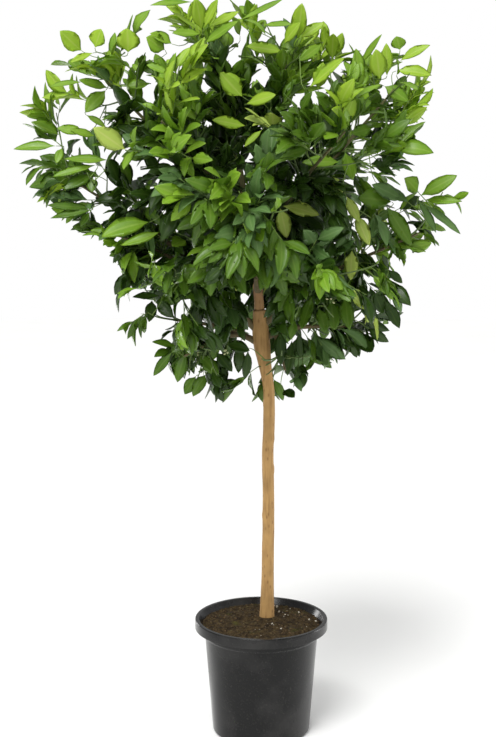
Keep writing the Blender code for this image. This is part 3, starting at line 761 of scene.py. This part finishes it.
def leavesMesh(name, leaves, material):
    column = lambda key: np.array([getattr(leaf, key) for leaf in leaves])[:, None, None]
    place = lambda key: np.array([tuple(getattr(leaf, key)) for leaf in leaves])[:, None, None, :]
    way = unit(place("way"))
    side = unit(np.cross(way, place("face")))
    up = np.cross(side, way)
    t = np.array([0.0, *blade["stations"], 1.0])[None, :, None]
    v = np.array(blade["across"])[None, None, :]
    s = np.clip((t - blade["stalk"]) / (1 - blade["stalk"]), 0, 1)
    rootPower, tipPower, widest = blade["rootPower"], blade["tipPower"], blade["widest"]
    fullest = widest**rootPower * (1 - widest) ** tipPower
    half = column("width") / 2 * (s**rootPower * (1 - s) ** tipPower / fullest)
    half = np.maximum(half, blade["stalkWidth"] / 2 * (t < blade["stalkEnd"]))
    turn = column("twist") * t
    across = half * v
    edge = np.abs(v)
    ripple = np.sin(column("phase") + blade["ripples"] * t + blade["rippleTurn"] * v)
    lift = column("fold") * edge * half + column("wave") * edge**2 * half * ripple
    sag = column("droop") * t ** blade["droopPower"]
    lift = lift + column("length") * (column("arch") * 2 * t * (1 - t) - sag)
    under = np.array(blade["under"])[None, None, :]
    atRib = (edge == 0) * (under * blade["ridge"] - (1 - under) * blade["groove"])
    body = (1 - edge) * blade["thickness"] / 2 + atRib
    lift = lift + np.where(under == 1, -body, body) * np.minimum(1, half / blade["thinUnder"])
    forward = column("length") * t * (1 - blade["shortening"] * column("droop") * t) + 0 * v
    sideways = across * np.cos(turn) + column("bend") * column("length") * t * t
    raised = lift + across * np.sin(turn)
    points = place("root") + way * forward[..., None] + side * sideways[..., None] + up * raised[..., None]
    rings = len(blade["stations"])
    sides = len(blade["across"])
    body = points[:, 1:-1].reshape(len(leaves), rings * sides, 3)
    poles = np.stack([points[:, 0].mean(1), points[:, -1].mean(1)], 1)
    everything = np.concatenate([body, poles], 1)
    count = rings * sides + 2
    shift = (np.arange(len(leaves)) * count)[:, None, None]
    quads = (loftFaces(rings, sides)[None, :, ::-1] + shift).reshape(-1, 4)
    triangles = (capFaces(rings, sides)[None, :, ::-1] + shift).reshape(-1, 3)
    uvRings = np.stack(np.broadcast_arrays(t[0, 1:-1], v[0]), -1).reshape(-1, 2)
    uvLeaf = np.concatenate([uvRings, [[0.0, 0.0], [1.0, 0.0]]])
    return meshFrom(name, everything, [quads, triangles], material, np.tile(uvLeaf, (len(leaves), 1)))


growth = {
    "sprigEvery": 0.0150, "sprigLength": (0.024, 0.085), "leafEvery": 0.0112,
    "leafLength": (0.046, 0.078), "leafWidth": (0.38, 0.50),
    "tries": 8, "turnStep": 0.9, "shrink": 0.06, "lean": 0.85, "endLean": 0.35, "tuftLean": 0.2,
    "cell": 0.0095, "boughBare": 0.35, "lastSprig": 0.97, "stagger": (0.2, 0.8), "leafySpan": 0.85,
    "sprigRadius": 0.0011, "sprigTip": 0.0007, "sprigSides": 4, "sprigWay": 0.3, "sprigLift": 0.25,
    "sprigReach": 0.98, "leafReach": 1.04,
    "outward": 0.35, "stray": 0.15, "sag": -0.42, "topSag": 0.10, "topFrom": 0.2,
    "faceOutward": 0.75, "faceUp": (0, -0.15, 0.55), "faceStray": 0.60,
}
goldenAngle = math.radians(137.5)


def leafWay(way, turn, lean, outward, rng):
    across = Matrix.Rotation(turn, 3, way) @ way.orthogonal().normalized()
    out = way * math.cos(lean) + across * math.sin(lean)
    sag = growth["topSag"] if outward.z > growth["topFrom"] else growth["sag"]
    aim = out + outward * growth["outward"] + Vector((0, 0, sag))
    return (aim + growth["stray"] * randomWay(rng)).normalized()


def leafFace(outward, rng):
    aim = outward * growth["faceOutward"] + Vector(growth["faceUp"])
    return (aim + growth["faceStray"] * randomWay(rng)).normalized()


class Crown:
    # all the leaves by tone, and the twigs that carry them
    def __init__(self, shades):
        self.leaves = {tone: [] for tone in shades}
        self.twigs = Tubes()
        self.sprigs = Tubes()
        self.cells = set()
        self.forks = []  # places on the shoots, which the listed sprays start from

    def cell(self, point):
        return tuple(int(math.floor(part / growth["cell"])) for part in point)

    def addLeaf(self, root, way, turn, lean, tone, rng):
        outward = (root - heart).normalized()
        for attempt in range(growth["tries"]):
            length = rng.uniform(*growth["leafLength"]) * (1 - growth["shrink"] * attempt)
            width = length * rng.uniform(*growth["leafWidth"])
            out = leafWay(way, turn + growth["turnStep"] * attempt, lean, outward, rng)
            leaf = Leaf(root, out, leafFace(outward, rng), length, width, rng)
            samples = leaf.samples()
            cell = self.cell(samples[0])
            if cell in self.cells or not all(insideBox(point) for point in samples):
                continue
            if crownShare(samples[-1]) > growth["leafReach"] or not keepsSky(samples):
                continue
            self.cells.add(cell)
            self.leaves[tone].append(leaf)
            return

    def addSprig(self, root, way, rng, lean):
        outward = (root - heart).normalized()
        length = rng.uniform(*growth["sprigLength"])
        out = leafWay(way, rng.uniform(0, math.tau), lean, outward, rng)
        end = root + out * length
        if crownShare(end) > growth["sprigReach"] or not insideBox(end):
            return
        if not keepsSky([root.lerp(end, 0.5), end]):
            return
        endWay = out + Vector((0, 0, growth["sprigLift"]))
        line = arcLine(root, out + growth["sprigWay"] * way, end, endWay, 3)
        radii = tapered(growth["sprigRadius"], growth["sprigTip"], len(line))
        self.sprigs.add(line, radii, growth["sprigSides"])
        tone = toneOf(end, rng)
        turn = rng.uniform(0, math.tau)
        count = max(2, round(length / growth["leafEvery"]))
        for i in range(count):
            place, ahead = along(line, 1.0 - growth["leafySpan"] * i / count)
            self.addLeaf(place, ahead, turn, growth["endLean"] if i == 0 else growth["lean"], tone, rng)
            turn += goldenAngle

    def clothe(self, line, bare, rng):
        # sprigs in a spiral along a shoot, and a tuft at its end
        length = sum((b - a).length for a, b in zip(line, line[1:]))
        count = max(1, round(length * (1 - bare) / growth["sprigEvery"]))
        for i in range(count):
            share = bare + (growth["lastSprig"] - bare) * (i + rng.uniform(*growth["stagger"])) / count
            place, way = along(line, share)
            self.forks.append(place)
            self.addSprig(place, way, rng, growth["lean"])
        place, way = along(line, 1.0)
        self.addSprig(place, way, rng, growth["tuftLean"])


toneRule = {
    "halfHeight": 0.42, "shareFrom": 0.80, "perShare": 1.6, "perHeight": 0.62, "stray": 0.24,
    "yellow": 0.012, "lime": 0.55, "fresh": 0.14, "mid": -0.26, "blueInMid": 0.22, "blueInDeep": 0.12,
}


def toneOf(place, rng):
    # lighter tones go to the top and the rim, darker ones inside and low: partly young and old leaves, partly
    # painted light on the top and painted shade inside and low
    share = crownShare(place) - toneRule["shareFrom"]
    height = (place.z - heart.z) / toneRule["halfHeight"]
    # this score mixes leaf age with painted light from above and painted shade deep in the crown
    litAndYoung = toneRule["perShare"] * share + toneRule["perHeight"] * height + rng.gauss(0, toneRule["stray"])
    if rng.random() < toneRule["yellow"]:
        return "yellow"
    if litAndYoung > toneRule["lime"]:
        return "lime"
    if litAndYoung > toneRule["fresh"]:
        return "fresh"
    if litAndYoung > toneRule["mid"]:
        return "blue" if rng.random() < toneRule["blueInMid"] else "mid"
    return "blue" if rng.random() < toneRule["blueInDeep"] else "deep"


def growMass(crown, limbs, rooms, index, boughs):
    name, tip, second = masses[index][:3]
    limb = limbs[name]
    space = rooms[name]
    tip = Vector(tip)
    wayIn = (limb.line[-1] - limb.line[-2]).normalized()
    start = limb.line[-1] + wayIn * bough["gap"]
    end = shootEnd(start, tip)
    stemLine = arcLine(start, wayIn, end, tip - start, stem["steps"])
    fine = arcLine(limb.line[-1] - wayIn * stem["inside"], wayIn, end, tip - start, stem["fineSteps"])
    boughs.add(fine, tapered(limb.radii[-1], stem["tipRadius"], len(fine)), stem["sides"])
    rng = random.Random(seed * 1000 + index)
    shoots = [(fine, stem["bare"])]
    for goal in twigGoals(space, [tip, Vector(second)], random.Random(seed * 100 + index)):
        fork, way = along(stemLine, forkShare(stemLine, goal))
        reach = shootEnd(fork, goal)
        further = reach.lerp(goal, twig["further"])
        if crownShare(further) > 1.0 or not insideBox(further):
            further = reach
        startWay = (further - fork) + way * twig["ahead"]
        endWay = further - fork + Vector((0, 0, twig["lift"]))
        line = arcLine(fork, startWay, further, endWay, twig["steps"])
        crown.twigs.add(line, tapered(twig["radius"], twig["tipRadius"], len(line)), twig["sides"])
        shoots.append((line, twig["bare"]))
    if name != "top_left":  # the leader stays bare
        shoots.append((limb.fine, growth["boughBare"]))
    for line, bare in shoots:
        crown.clothe(line, bare, rng)


def placeSprays(crown):
    # each leaf has a short twig of its own that runs back to the nearest shoot
    rng = random.Random(seed)
    jitter, forward, tilt = heroSettings["jitter"], heroSettings["tipForward"], heroSettings["tilt"]
    for depth, tone, leaves in sprays:
        for rootX, rootY, tipX, tipY, width in leaves:
            rootDepth = depth + rng.uniform(-jitter, jitter)
            root = atPixel(rootX, rootY, rootDepth)
            tip = atPixel(tipX, tipY, rootDepth + rng.uniform(-forward, 0.0))
            tip = Vector([min(max(part, low), high) for low, part, high in zip(boxLow, tip, boxHigh)])
            scale = (atPixel(rootX + 1, rootY, depth) - atPixel(rootX, rootY, depth)).length
            way = (tip - root).normalized()
            side = way.cross(Vector((0, -1, 0)))
            facing = Vector(heroSettings["facing"]) + side.normalized() * rng.uniform(-tilt, tilt)
            wide = width * scale * heroSettings["widen"]
            leaf = Leaf(root, way, facing.normalized(), (tip - root).length, wide, rng)
            for name, share in heroSettings["calmer"].items():
                setattr(leaf, name, getattr(leaf, name) * share)
            crown.leaves[tone].append(leaf)
            fork = min(crown.forks, key=lambda place: (place - root).length)
            back = root - way * heroSettings["stalk"]
            line = arcLine(fork, back - fork, root, way, heroSettings["steps"])
            radii = tapered(growth["sprigRadius"] * heroSettings["thicker"], growth["sprigTip"], len(line))
            crown.sprigs.add(line, radii, growth["sprigSides"])


# Flower buds: cluster middles in pixels, with a depth, and how many buds each has
budClusters = [(196, 352, -0.04, 7), (194, 345, -0.05, 4), (168, 282, -0.10, 6), (180, 274, -0.11, 5),
               (200, 288, -0.10, 4), (228, 350, -0.05, 3), (330, 300, -0.06, 3)]
bud = {
    "radius": 0.0021, "long": 1.45, "spread": 0.011, "stalk": 0.0004, "steps": 5,
    "facing": (0, -0.5, 0.1), "scatter": (0.5, 1.0), "sizes": (0.8, 1.2),
}


def makeBuds(crown, material):
    rng = random.Random(seed + 3)
    ball = bmesh.new()
    bmesh.ops.create_icosphere(ball, subdivisions=2, radius=1.0)
    shape = np.array([tuple(vert.co) for vert in ball.verts])
    corners = np.array([[vert.index for vert in face.verts] for face in ball.faces])
    ball.free()
    points, faces, count = [], [], 0
    for x, y, depth, number in budClusters:
        base = atPixel(x, y, depth)
        fork = min(crown.forks, key=lambda place: (place - base).length)
        line = arcLine(fork, base - fork, base, base - fork, bud["steps"])
        radii = tapered(growth["sprigRadius"], growth["sprigTip"], len(line))
        crown.sprigs.add(line, radii, growth["sprigSides"])
        for _ in range(number):
            out = (randomWay(rng) + Vector(bud["facing"])).normalized()
            middle = base + out * bud["spread"] * rng.uniform(*bud["scatter"])
            crown.sprigs.add([base, base.lerp(middle, 0.5), middle], [bud["stalk"]] * 3, 3)
            frameOut = out.to_track_quat("Z", "Y").to_matrix()
            size = bud["radius"] * rng.uniform(*bud["sizes"])
            scaledShape = shape * np.array([size, size, size * bud["long"]])
            points.append(scaledShape @ np.array(frameOut).T + np.array(tuple(middle)))
            faces.append(corners + count)
            count += len(shape)
    return meshFrom("flowerBuds", np.concatenate(points), [np.concatenate(faces)], material)


# Trunk and boughs with the relief of their bark: how far out from the limb's middle it is read, and
# its waves, each with its scale across, its scale along and its share of the radius
barkRelief = {
    "trunkReach": 0.013, "trunkWaves": [(260, 26, 0.022), (60, 22, 0.045), (700, 180, 0.012)],
    "boughReach": 0.006, "boughWaves": [(150, 150, 0.07), (500, 120, 0.05)],
}


def relief(place, waves):
    height = 1.0
    for across, lengthwise, share in waves:
        height += share * noise.noise(Vector((place.x * across, place.y * across, place.z * lengthwise)))
    return height


def trunkRelief(middle, out, angle):
    height = relief(middle + out * barkRelief["trunkReach"], barkRelief["trunkWaves"])
    for level, turn in trunk["knots"]:
        near = max(0.0, math.cos(angle - turn))
        for share, spread, sharpness in trunk["knotShapes"]:
            height += share * math.exp(-(((middle.z - level) / spread) ** 2)) * near**sharpness
    return height


def boughRelief(middle, out, angle):
    return relief(middle + out * barkRelief["boughReach"], barkRelief["boughWaves"])


def makeTrunk(limbs, material):
    tubes = Tubes()
    limb = limbs["trunk"]
    tubes.add(limb.fine, limb.radii, trunk["sides"], trunkRelief)
    # the leader goes on in the same bark, from a little inside the trunk's end
    leader = limbs["top_left"]
    into = (leader.fine[0] - leader.fine[1]).normalized() * trunk["leaderInside"]
    radii = [leader.radii[0] * trunk["leaderFoot"], *leader.radii]
    tubes.add([leader.fine[0] + into, *leader.fine], radii, trunk["sides"] // 2, boughRelief)
    made = tubes.made("trunkBark", material)
    level = trunk["line"][0][2]
    for vert in made.data.vertices:
        if vert.co.z < level + trunk["levelled"]:
            vert.co.z = level
    return made


# Pot: the same sizes as the solid, with rounded edges
pot = {
    "height": 0.245, "rimRadius": 0.140, "rimWidth": 0.0095, "rimTaper": 0.0003, "skirt": 0.020,
    "neckRadius": 0.122, "neckHeight": 0.013, "ledge": 0.003, "footRadius": 0.103, "wall": 0.002,
    "floor": 0.006, "turns": 144, "channelDepth": 0.003, "channelInner": 0.045, "channelOuter": 0.090,
    "drains": 8, "drainRadius": 0.007,
}


def rounded(corners):
    # each corner is radius, height and how far back its rounding starts
    points = []
    for i, (radius, height, cut) in enumerate(corners):
        here = Vector((radius, height))
        if cut == 0 or i in (0, len(corners) - 1):
            points.append(here)
            continue
        before = Vector(corners[i - 1][:2])
        after = Vector(corners[i + 1][:2])
        a = here + (before - here).normalized() * min(cut, (before - here).length * 0.45)
        b = here + (after - here).normalized() * min(cut, (after - here).length * 0.45)
        for k in range(5):
            t = k / 4
            points.append((1 - t) ** 2 * a + 2 * t * (1 - t) * here + t * t * b)
    return points


def turned(name, profile, turns, material, shape=None):
    # a closed solid turned round Z, whose profile starts and ends on the axis
    body = profile[1:-1]
    points = []
    for radius, height in body:
        for i in range(turns):
            angle = math.tau * i / turns
            points.append((radius * math.cos(angle), radius * math.sin(angle), height))
    points.append((0, 0, profile[0][1]))
    points.append((0, 0, profile[-1][1]))
    points = np.array(points)
    if shape:
        points = shape(points)
    faces = [loftFaces(len(body), turns)[:, ::-1], capFaces(len(body), turns)[:, ::-1]]
    return meshFrom(name, points, faces, material)


def makePot(material):
    top, rim, wall = pot["height"], pot["rimRadius"], pot["wall"]
    neckTop = top - pot["skirt"]
    neckFoot = neckTop - pot["neckHeight"]
    inner = rim - pot["rimWidth"]
    neck, ledge, foot = pot["neckRadius"], pot["ledge"], pot["footRadius"]
    channelIn, channelOut, deep = pot["channelInner"], pot["channelOuter"], pot["channelDepth"]
    corners = [
        (0.0, pot["floor"], 0), (foot - wall, pot["floor"], 0.002),
        (neck - ledge - wall, neckFoot - wall, 0.001), (neck - wall, neckFoot + ledge, 0.001),
        (neck - wall, neckTop + wall, 0.002), (inner, top - wall, 0.0015), (inner + wall * 0.6, top, 0.0012),
        (rim - wall * 0.4, top, 0.0016), (rim - wall * 0.1, top - wall, 0.0010), (rim, neckTop, 0.0006),
        (rim - wall, neckTop, 0.0006), (rim - wall - pot["rimTaper"], top - 2 * wall, 0.0010),
        (inner + wall, top - 2 * wall, 0.0010), (neck, neckTop, 0.0015), (neck, neckFoot, 0.0015),
        (neck - ledge, neckFoot - ledge, 0.0015), (foot, 2 * wall, 0.003), (foot - 2 * wall, 0.0, 0.0015),
        (channelOut, 0.0, 0.001), (channelOut - wall, deep, 0.001),
        (channelIn + wall, deep, 0.001), (channelIn, 0.0, 0.001), (0.0, 0.0, 0),
    ]
    made = turned("potShell", [tuple(point) for point in rounded(corners)], pot["turns"], material)
    drill = bmesh.new()
    ring = (pot["channelInner"] + pot["channelOuter"]) / 2
    for i in range(pot["drains"]):
        angle = math.tau * (i + 0.5) / pot["drains"]
        middle = Vector((ring * math.cos(angle), ring * math.sin(angle), pot["floor"] / 2))
        bmesh.ops.create_cone(
            drill, cap_ends=True, segments=24, radius1=pot["drainRadius"], radius2=pot["drainRadius"],
            depth=3 * pot["floor"], matrix=Matrix.Translation(middle),
        )
    mesh = bpy.data.meshes.new("drill")
    drill.to_mesh(mesh)
    drill.free()
    cutter = linked("drill", mesh)
    cut = made.modifiers.new("drains", "BOOLEAN")
    cut.object = cutter
    graph = bpy.context.evaluated_depsgraph_get()
    whole = bpy.data.meshes.new_from_object(made.evaluated_get(graph), depsgraph=graph)
    made.modifiers.clear()
    made.data = whole
    bpy.data.objects.remove(cutter)
    whole.materials.clear()
    whole.materials.append(material)
    whole.shade_smooth()
    whole.set_sharp_from_angle(angle=math.radians(40))
    return made


# Soil: a crumbly top that falls a little to the wall and rises round the trunk's foot
soil = {
    "level": 0.237, "edgeDrop": 0.005, "levelRadius": 0.070, "wallRadius": 0.128, "rings": 46, "turns": 144,
    "rough": 0.0022, "lumps": [(60, 3, 1.0), (170, 8, 0.6), (420, 5, 0.35)],
    "collar": 0.0024, "collarRadius": 0.024, "calmFrom": 0.012, "calmOver": 0.02, "calmest": 0.15,
    "edge": 0.1283, "side": [(0.1195, 0.2262), (0.1190, 0.214), (0.1160, 0.209), (0.1000, 0.0066)],
    "patchSteps": 60, "patchRadius": 0.123, "footRadius": 0.019,
}


def soilHeight(x, y):
    fall = (math.hypot(x, y) - soil["levelRadius"]) / (soil["wallRadius"] - soil["levelRadius"])
    lumps = 0.0
    for scale, layer, share in soil["lumps"]:
        lumps += share * noise.noise(Vector((x * scale, y * scale, layer)))
    near = math.hypot(x - trunk["line"][0][0], y - trunk["line"][0][1])
    collar = soil["collar"] * math.exp(-((near / soil["collarRadius"]) ** 2))
    calm = min(1.0, max(soil["calmest"], (near - soil["calmFrom"]) / soil["calmOver"]))
    return soil["level"] - soil["edgeDrop"] * max(0.0, fall) + soil["rough"] * lumps * calm + collar


def makeSoil(material):
    # the profile runs from the top's middle down the wall to the underside's middle
    top = [(soil["edge"] * i / soil["rings"], soil["level"]) for i in range(soil["rings"] + 1)]
    profile = [*top, *soil["side"], (0.0, soil["side"][-1][1])]

    def shape(points):
        made = points.copy()
        for i, (x, y, z) in enumerate(points):
            if abs(z - soil["level"]) < 1e-6:
                made[i, 2] = soilHeight(x, y)
        return made

    made = turned("soilBody", profile, soil["turns"], material, shape)
    made.data.flip_normals()
    return made


def scatterTree(name, material):
    # scatters turned and stretched grains over a surface, chosen by named inputs
    tree = bpy.data.node_groups.new(name, "GeometryNodeTree")
    face = tree.interface
    face.new_socket("Geometry", in_out="INPUT", socket_type="NodeSocketGeometry")
    face.new_socket("Geometry", in_out="OUTPUT", socket_type="NodeSocketGeometry")
    inputs = {}
    for label, kind in (("Density", "NodeSocketFloat"), ("Smallest", "NodeSocketFloat"),
                        ("Largest", "NodeSocketFloat"), ("Seed", "NodeSocketInt")):
        inputs[label] = face.new_socket(label, in_out="INPUT", socket_type=kind).identifier
    link = tree.links.new
    new = tree.nodes.new
    source, result = new("NodeGroupInput"), new("NodeGroupOutput")
    points = new("GeometryNodeDistributePointsOnFaces")
    link(source.outputs["Geometry"], points.inputs["Mesh"])
    link(source.outputs["Density"], points.inputs["Density"])
    link(source.outputs["Seed"], points.inputs["Seed"])
    grain = new("GeometryNodeMeshIcoSphere")
    grain.inputs["Radius"].default_value = 1.0
    grain.inputs["Subdivisions"].default_value = 1
    stretch = new("FunctionNodeRandomValue")
    stretch.data_type = "FLOAT_VECTOR"
    stretch.inputs["Min"].default_value = (0.55, 0.55, 0.45)
    stretch.inputs["Max"].default_value = (1.25, 1.25, 0.9)
    size = new("FunctionNodeRandomValue")
    size.data_type = "FLOAT"
    link(source.outputs["Smallest"], size.inputs[2])
    link(source.outputs["Largest"], size.inputs[3])
    times = new("ShaderNodeVectorMath")
    times.operation = "SCALE"
    link(stretch.outputs[0], times.inputs[0])
    link(size.outputs[1], times.inputs["Scale"])
    spin = new("FunctionNodeRandomValue")
    spin.data_type = "FLOAT_VECTOR"
    spin.inputs["Max"].default_value = (6.28, 6.28, 6.28)
    copies = new("GeometryNodeInstanceOnPoints")
    link(points.outputs["Points"], copies.inputs["Points"])
    link(grain.outputs["Mesh"], copies.inputs["Instance"])
    link(spin.outputs[0], copies.inputs["Rotation"])
    link(times.outputs[0], copies.inputs["Scale"])
    real = new("GeometryNodeRealizeInstances")
    link(copies.outputs[0], real.inputs[0])
    paint = new("GeometryNodeSetMaterial")
    paint.inputs["Material"].default_value = material
    link(real.outputs[0], paint.inputs["Geometry"])
    link(paint.outputs[0], result.inputs[0])
    return tree, inputs


grains = {  # how many a square metre, the radius of the smallest and largest, and the seed
    "crumbs": {"Density": 52000.0, "Smallest": 0.0007, "Largest": 0.0024, "Seed": 4},
    "chips": {"Density": 3200.0, "Smallest": 0.0012, "Largest": 0.0036, "Seed": 9},
    "perliteBits": {"Density": 1500.0, "Smallest": 0.0006, "Largest": 0.0017, "Seed": 2},
}


def scattered(name, material, leftEnd=-1.0):
    tree, inputs = scatterTree(name + "Tree", material)
    holder = linked(name, soilPatch(name + "Patch", leftEnd))
    step = holder.modifiers.new("scatter", "NODES")
    step.node_group = tree
    for label, value in grains[name].items():
        step[inputs[label]] = value
    graph = bpy.context.evaluated_depsgraph_get()
    mesh = bpy.data.meshes.new_from_object(holder.evaluated_get(graph), depsgraph=graph)
    holder.modifiers.clear()
    holder.data = mesh
    mesh.shade_smooth()
    return holder


def soilPatch(name, leftEnd):
    # the part of the soil's top that grains lie on, to the right of x = leftEnd
    steps, edge = soil["patchSteps"], soil["patchRadius"]
    bm = bmesh.new()
    bmesh.ops.create_grid(bm, x_segments=steps, y_segments=steps, size=edge)
    foot = Vector(trunk["line"][0][:2])
    for vert in bm.verts:
        vert.co.z = soilHeight(vert.co.x, vert.co.y)
    outside = []
    for face in bm.faces:
        middle = face.calc_center_median().xy
        if middle.length > edge or (middle - foot).length < soil["footRadius"] or middle.x <= leftEnd:
            outside.append(face)
    bmesh.ops.delete(bm, geom=outside, context="FACES")
    mesh = bpy.data.meshes.new(name)
    bm.to_mesh(mesh)
    bm.free()
    return mesh


# Pale grains that stand out in the photograph: x, y in pixels and radius in metres
perliteGrains = [
    (277, 607, 0.0030), (279, 612, 0.0028), (285, 615, 0.0019), (272, 624, 0.0022), (281, 629, 0.0022),
    (299, 613, 0.0026), (309, 620, 0.0022), (316, 622, 0.0031), (274, 606, 0.0022), (290, 609, 0.0016),
]
perliteShape = {
    "slides": 12, "viewSlope": 16, "raised": 0.3, "rough": 0.25, "roughScale": 900,
    "stretch": [(0.8, 1.3), (0.7, 1.0), (0.6, 0.9)],
}


def makePerlite(material):
    rng = random.Random(seed + 5)
    pieces = bmesh.new()
    for x, y, radius in perliteGrains:
        depth = 0.0
        for _ in range(perliteShape["slides"]):  # slides along the view until it lies on the soil
            place = atPixel(x, y, depth)
            gap = place.z - soilHeight(place.x, place.y)
            depth += gap / math.tan(math.radians(perliteShape["viewSlope"]))
        spot = Matrix.Translation(place + Vector((0, 0, radius * perliteShape["raised"])))
        turnedBy = Matrix.Rotation(rng.uniform(0, 6), 4, randomWay(rng))
        stretch = Matrix.Diagonal([*(rng.uniform(*limits) for limits in perliteShape["stretch"]), 1])
        pose = spot @ turnedBy @ stretch
        made = bmesh.ops.create_icosphere(pieces, subdivisions=2, radius=radius, matrix=pose)
        for vert in made["verts"]:
            bulge = noise.noise(vert.co * perliteShape["roughScale"])
            vert.co += (vert.co - place).normalized() * perliteShape["rough"] * radius * bulge
    mesh = bpy.data.meshes.new("perlite")
    pieces.to_mesh(mesh)
    pieces.free()
    mesh.materials.append(material)
    return linked("perlite", mesh)


# Room, light and camera
studio = {
    "floorRadius": 9.0, "floor": (0.95, 0.95, 0.94), "worldLight": 0.58, "worldSeen": 1.0,
    "sunTurn": (28, -14, 0), "sunPower": 1.75, "sunAngle": 24,
    "lamps": [  # place, what it looks at, width and height, watts
        ((-0.9, -2.4, 3.0), (0, 0, 1.1), (1.8, 1.8), 40.0),
        ((1.55, 0.42, 0.34), (0.05, 0, 0.15), (0.34, 0.9), 9.0),
        ((-1.30, 1.35, 0.34), (-0.05, 0, 0.15), (0.40, 0.9), 9.0),
    ],
}


def makeStage():
    scene = bpy.context.scene
    scene.view_settings.view_transform = "Standard"
    world = bpy.data.worlds.new("studio")
    scene.world = world
    world.use_nodes = True
    tree = world.node_tree
    back = tree.nodes["Background"]
    back.inputs["Color"].default_value = (1, 1, 1, 1)
    path = tree.nodes.new("ShaderNodeLightPath")
    seen = Value(tree, path.outputs["Is Camera Ray"])
    dim, bright = studio["worldLight"], studio["worldSeen"]
    fill(tree, back.inputs["Strength"], seen * (bright - dim) + dim)
    look = Look("paleFloor", studio["floor"], {"Specular IOR Level": 0.1})
    grain = look.spread(look.noise(look.objectPlace(), 3.0), 0.3, 0.7)
    look.shows("Base Color", look.mixed(grain, studio["floor"], scaled(studio["floor"], 1.02)))
    look.shows("Roughness", grain * 0.1 + 0.8)
    bm = bmesh.new()
    bmesh.ops.create_circle(bm, cap_ends=True, segments=96, radius=studio["floorRadius"])
    mesh = bpy.data.meshes.new("floor")
    bm.to_mesh(mesh)
    bm.free()
    mesh.materials.append(look.material)
    floor = linked("floor", mesh)
    for i, (place, target, size, watts) in enumerate(studio["lamps"]):
        lamp = bpy.data.lights.new(f"lamp{i}", "AREA")
        lamp.energy = watts
        lamp.shape = "RECTANGLE"
        lamp.size, lamp.size_y = size
        obj = linked(lamp.name, lamp)
        obj.location = place
        aim = Vector(target) - Vector(place)
        obj.rotation_euler = aim.to_track_quat("-Z", "Y").to_euler()
    lamp = bpy.data.lights.new("overhead", "SUN")
    lamp.energy = studio["sunPower"]
    lamp.angle = math.radians(studio["sunAngle"])
    obj = linked("overhead", lamp)
    obj.rotation_euler = [math.radians(turn) for turn in studio["sunTurn"]]
    lens = bpy.data.cameras.new("camera")
    lens.lens = photo["lens"]
    lens.sensor_width = photo["film"]
    lens.sensor_fit = "AUTO"
    camera = linked("camera", lens)
    camera.location = photo["cameraAt"]
    camera.rotation_euler = (math.radians(90 - photo["tiltDown"]), 0, 0)
    scene.camera = camera
    print("stage, lights and camera are in place")


def keep(piece, slot, *nodes):
    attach(piece, "root")
    if nodes:
        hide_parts(*nodes)
    print(piece.name, len(piece.data.polygons), "faces")


makeStage()

trunkBark = barkLook("strawBark")
boughBark = barkLook("oliveBark")
greenTwig = twigLook("greenTwig", (0.120, 0.190, 0.040), (0.075, 0.120, 0.030))
youngTwig = twigLook("youngTwig", (0.200, 0.310, 0.055), (0.110, 0.190, 0.035))

limbs = planLimbs()
rooms = {name: Room(Vector(tip), limbs[name].line[-1]) for name, tip, *_ in masses}
for name, space in rooms.items():
    space.neighbours = [other for key, other in rooms.items() if key != name]

keep(makeTrunk(limbs, trunkBark), "bark", "trunk", "bough_top_left")
boughTubes = Tubes()
for name, *_ in masses[1:]:
    boughTubes.add(limbs[name].fine, limbs[name].radii, bough["sides"], boughRelief)
crown = Crown(tones)
for index in range(len(masses)):
    growMass(crown, limbs, rooms, index, boughTubes)
print("crown grown:", sum(len(leaves) for leaves in crown.leaves.values()), "leaves")
placeSprays(crown)
budPiece = makeBuds(crown, plainLook("creamBuds", (0.62, 0.60, 0.36), (0.45, 0.50, 0.22), 0.5))
keep(boughTubes.made("boughs", boughBark), "bough_bark", *[f"bough_{mass[0]}" for mass in masses[1:]])
keep(crown.twigs.made("twigs", greenTwig), "bough_bark")
keep(crown.sprigs.made("sprigs", youngTwig), "leaf_green")
keep(budPiece, "leaf_green")
massNodes = [f"leaves_{mass[0]}" for mass in masses]
for tone, leaves in crown.leaves.items():
    material = leafLook(f"leaf_{tone}", tones[tone])
    for part, first in enumerate(range(0, len(leaves), blade["perPiece"])):
        piece = leavesMesh(f"leaves_{tone}_{part}", leaves[first:first + blade["perPiece"]], material)
        keep(piece, "leaf_green", *massNodes)

keep(makePot(potLook()), "pot_black", "pot")
keep(makeSoil(soilLook("soilTop", 0.7)), "soil_brown", "soil")
keep(scattered("crumbs", soilLook("crumb", 0.5)), "soil_brown")
chipLook = plainLook("barkChip", (0.11, 0.06, 0.025), (0.06, 0.05, 0.015), 0.9)
keep(scattered("chips", chipLook), "soil_brown")
perliteLook = plainLook("perlitePale", (0.52, 0.48, 0.40), (0.38, 0.34, 0.27), 0.9)
keep(makePerlite(perliteLook), "soil_brown")
keep(scattered("perliteBits", perliteLook, -0.02), "soil_brown")
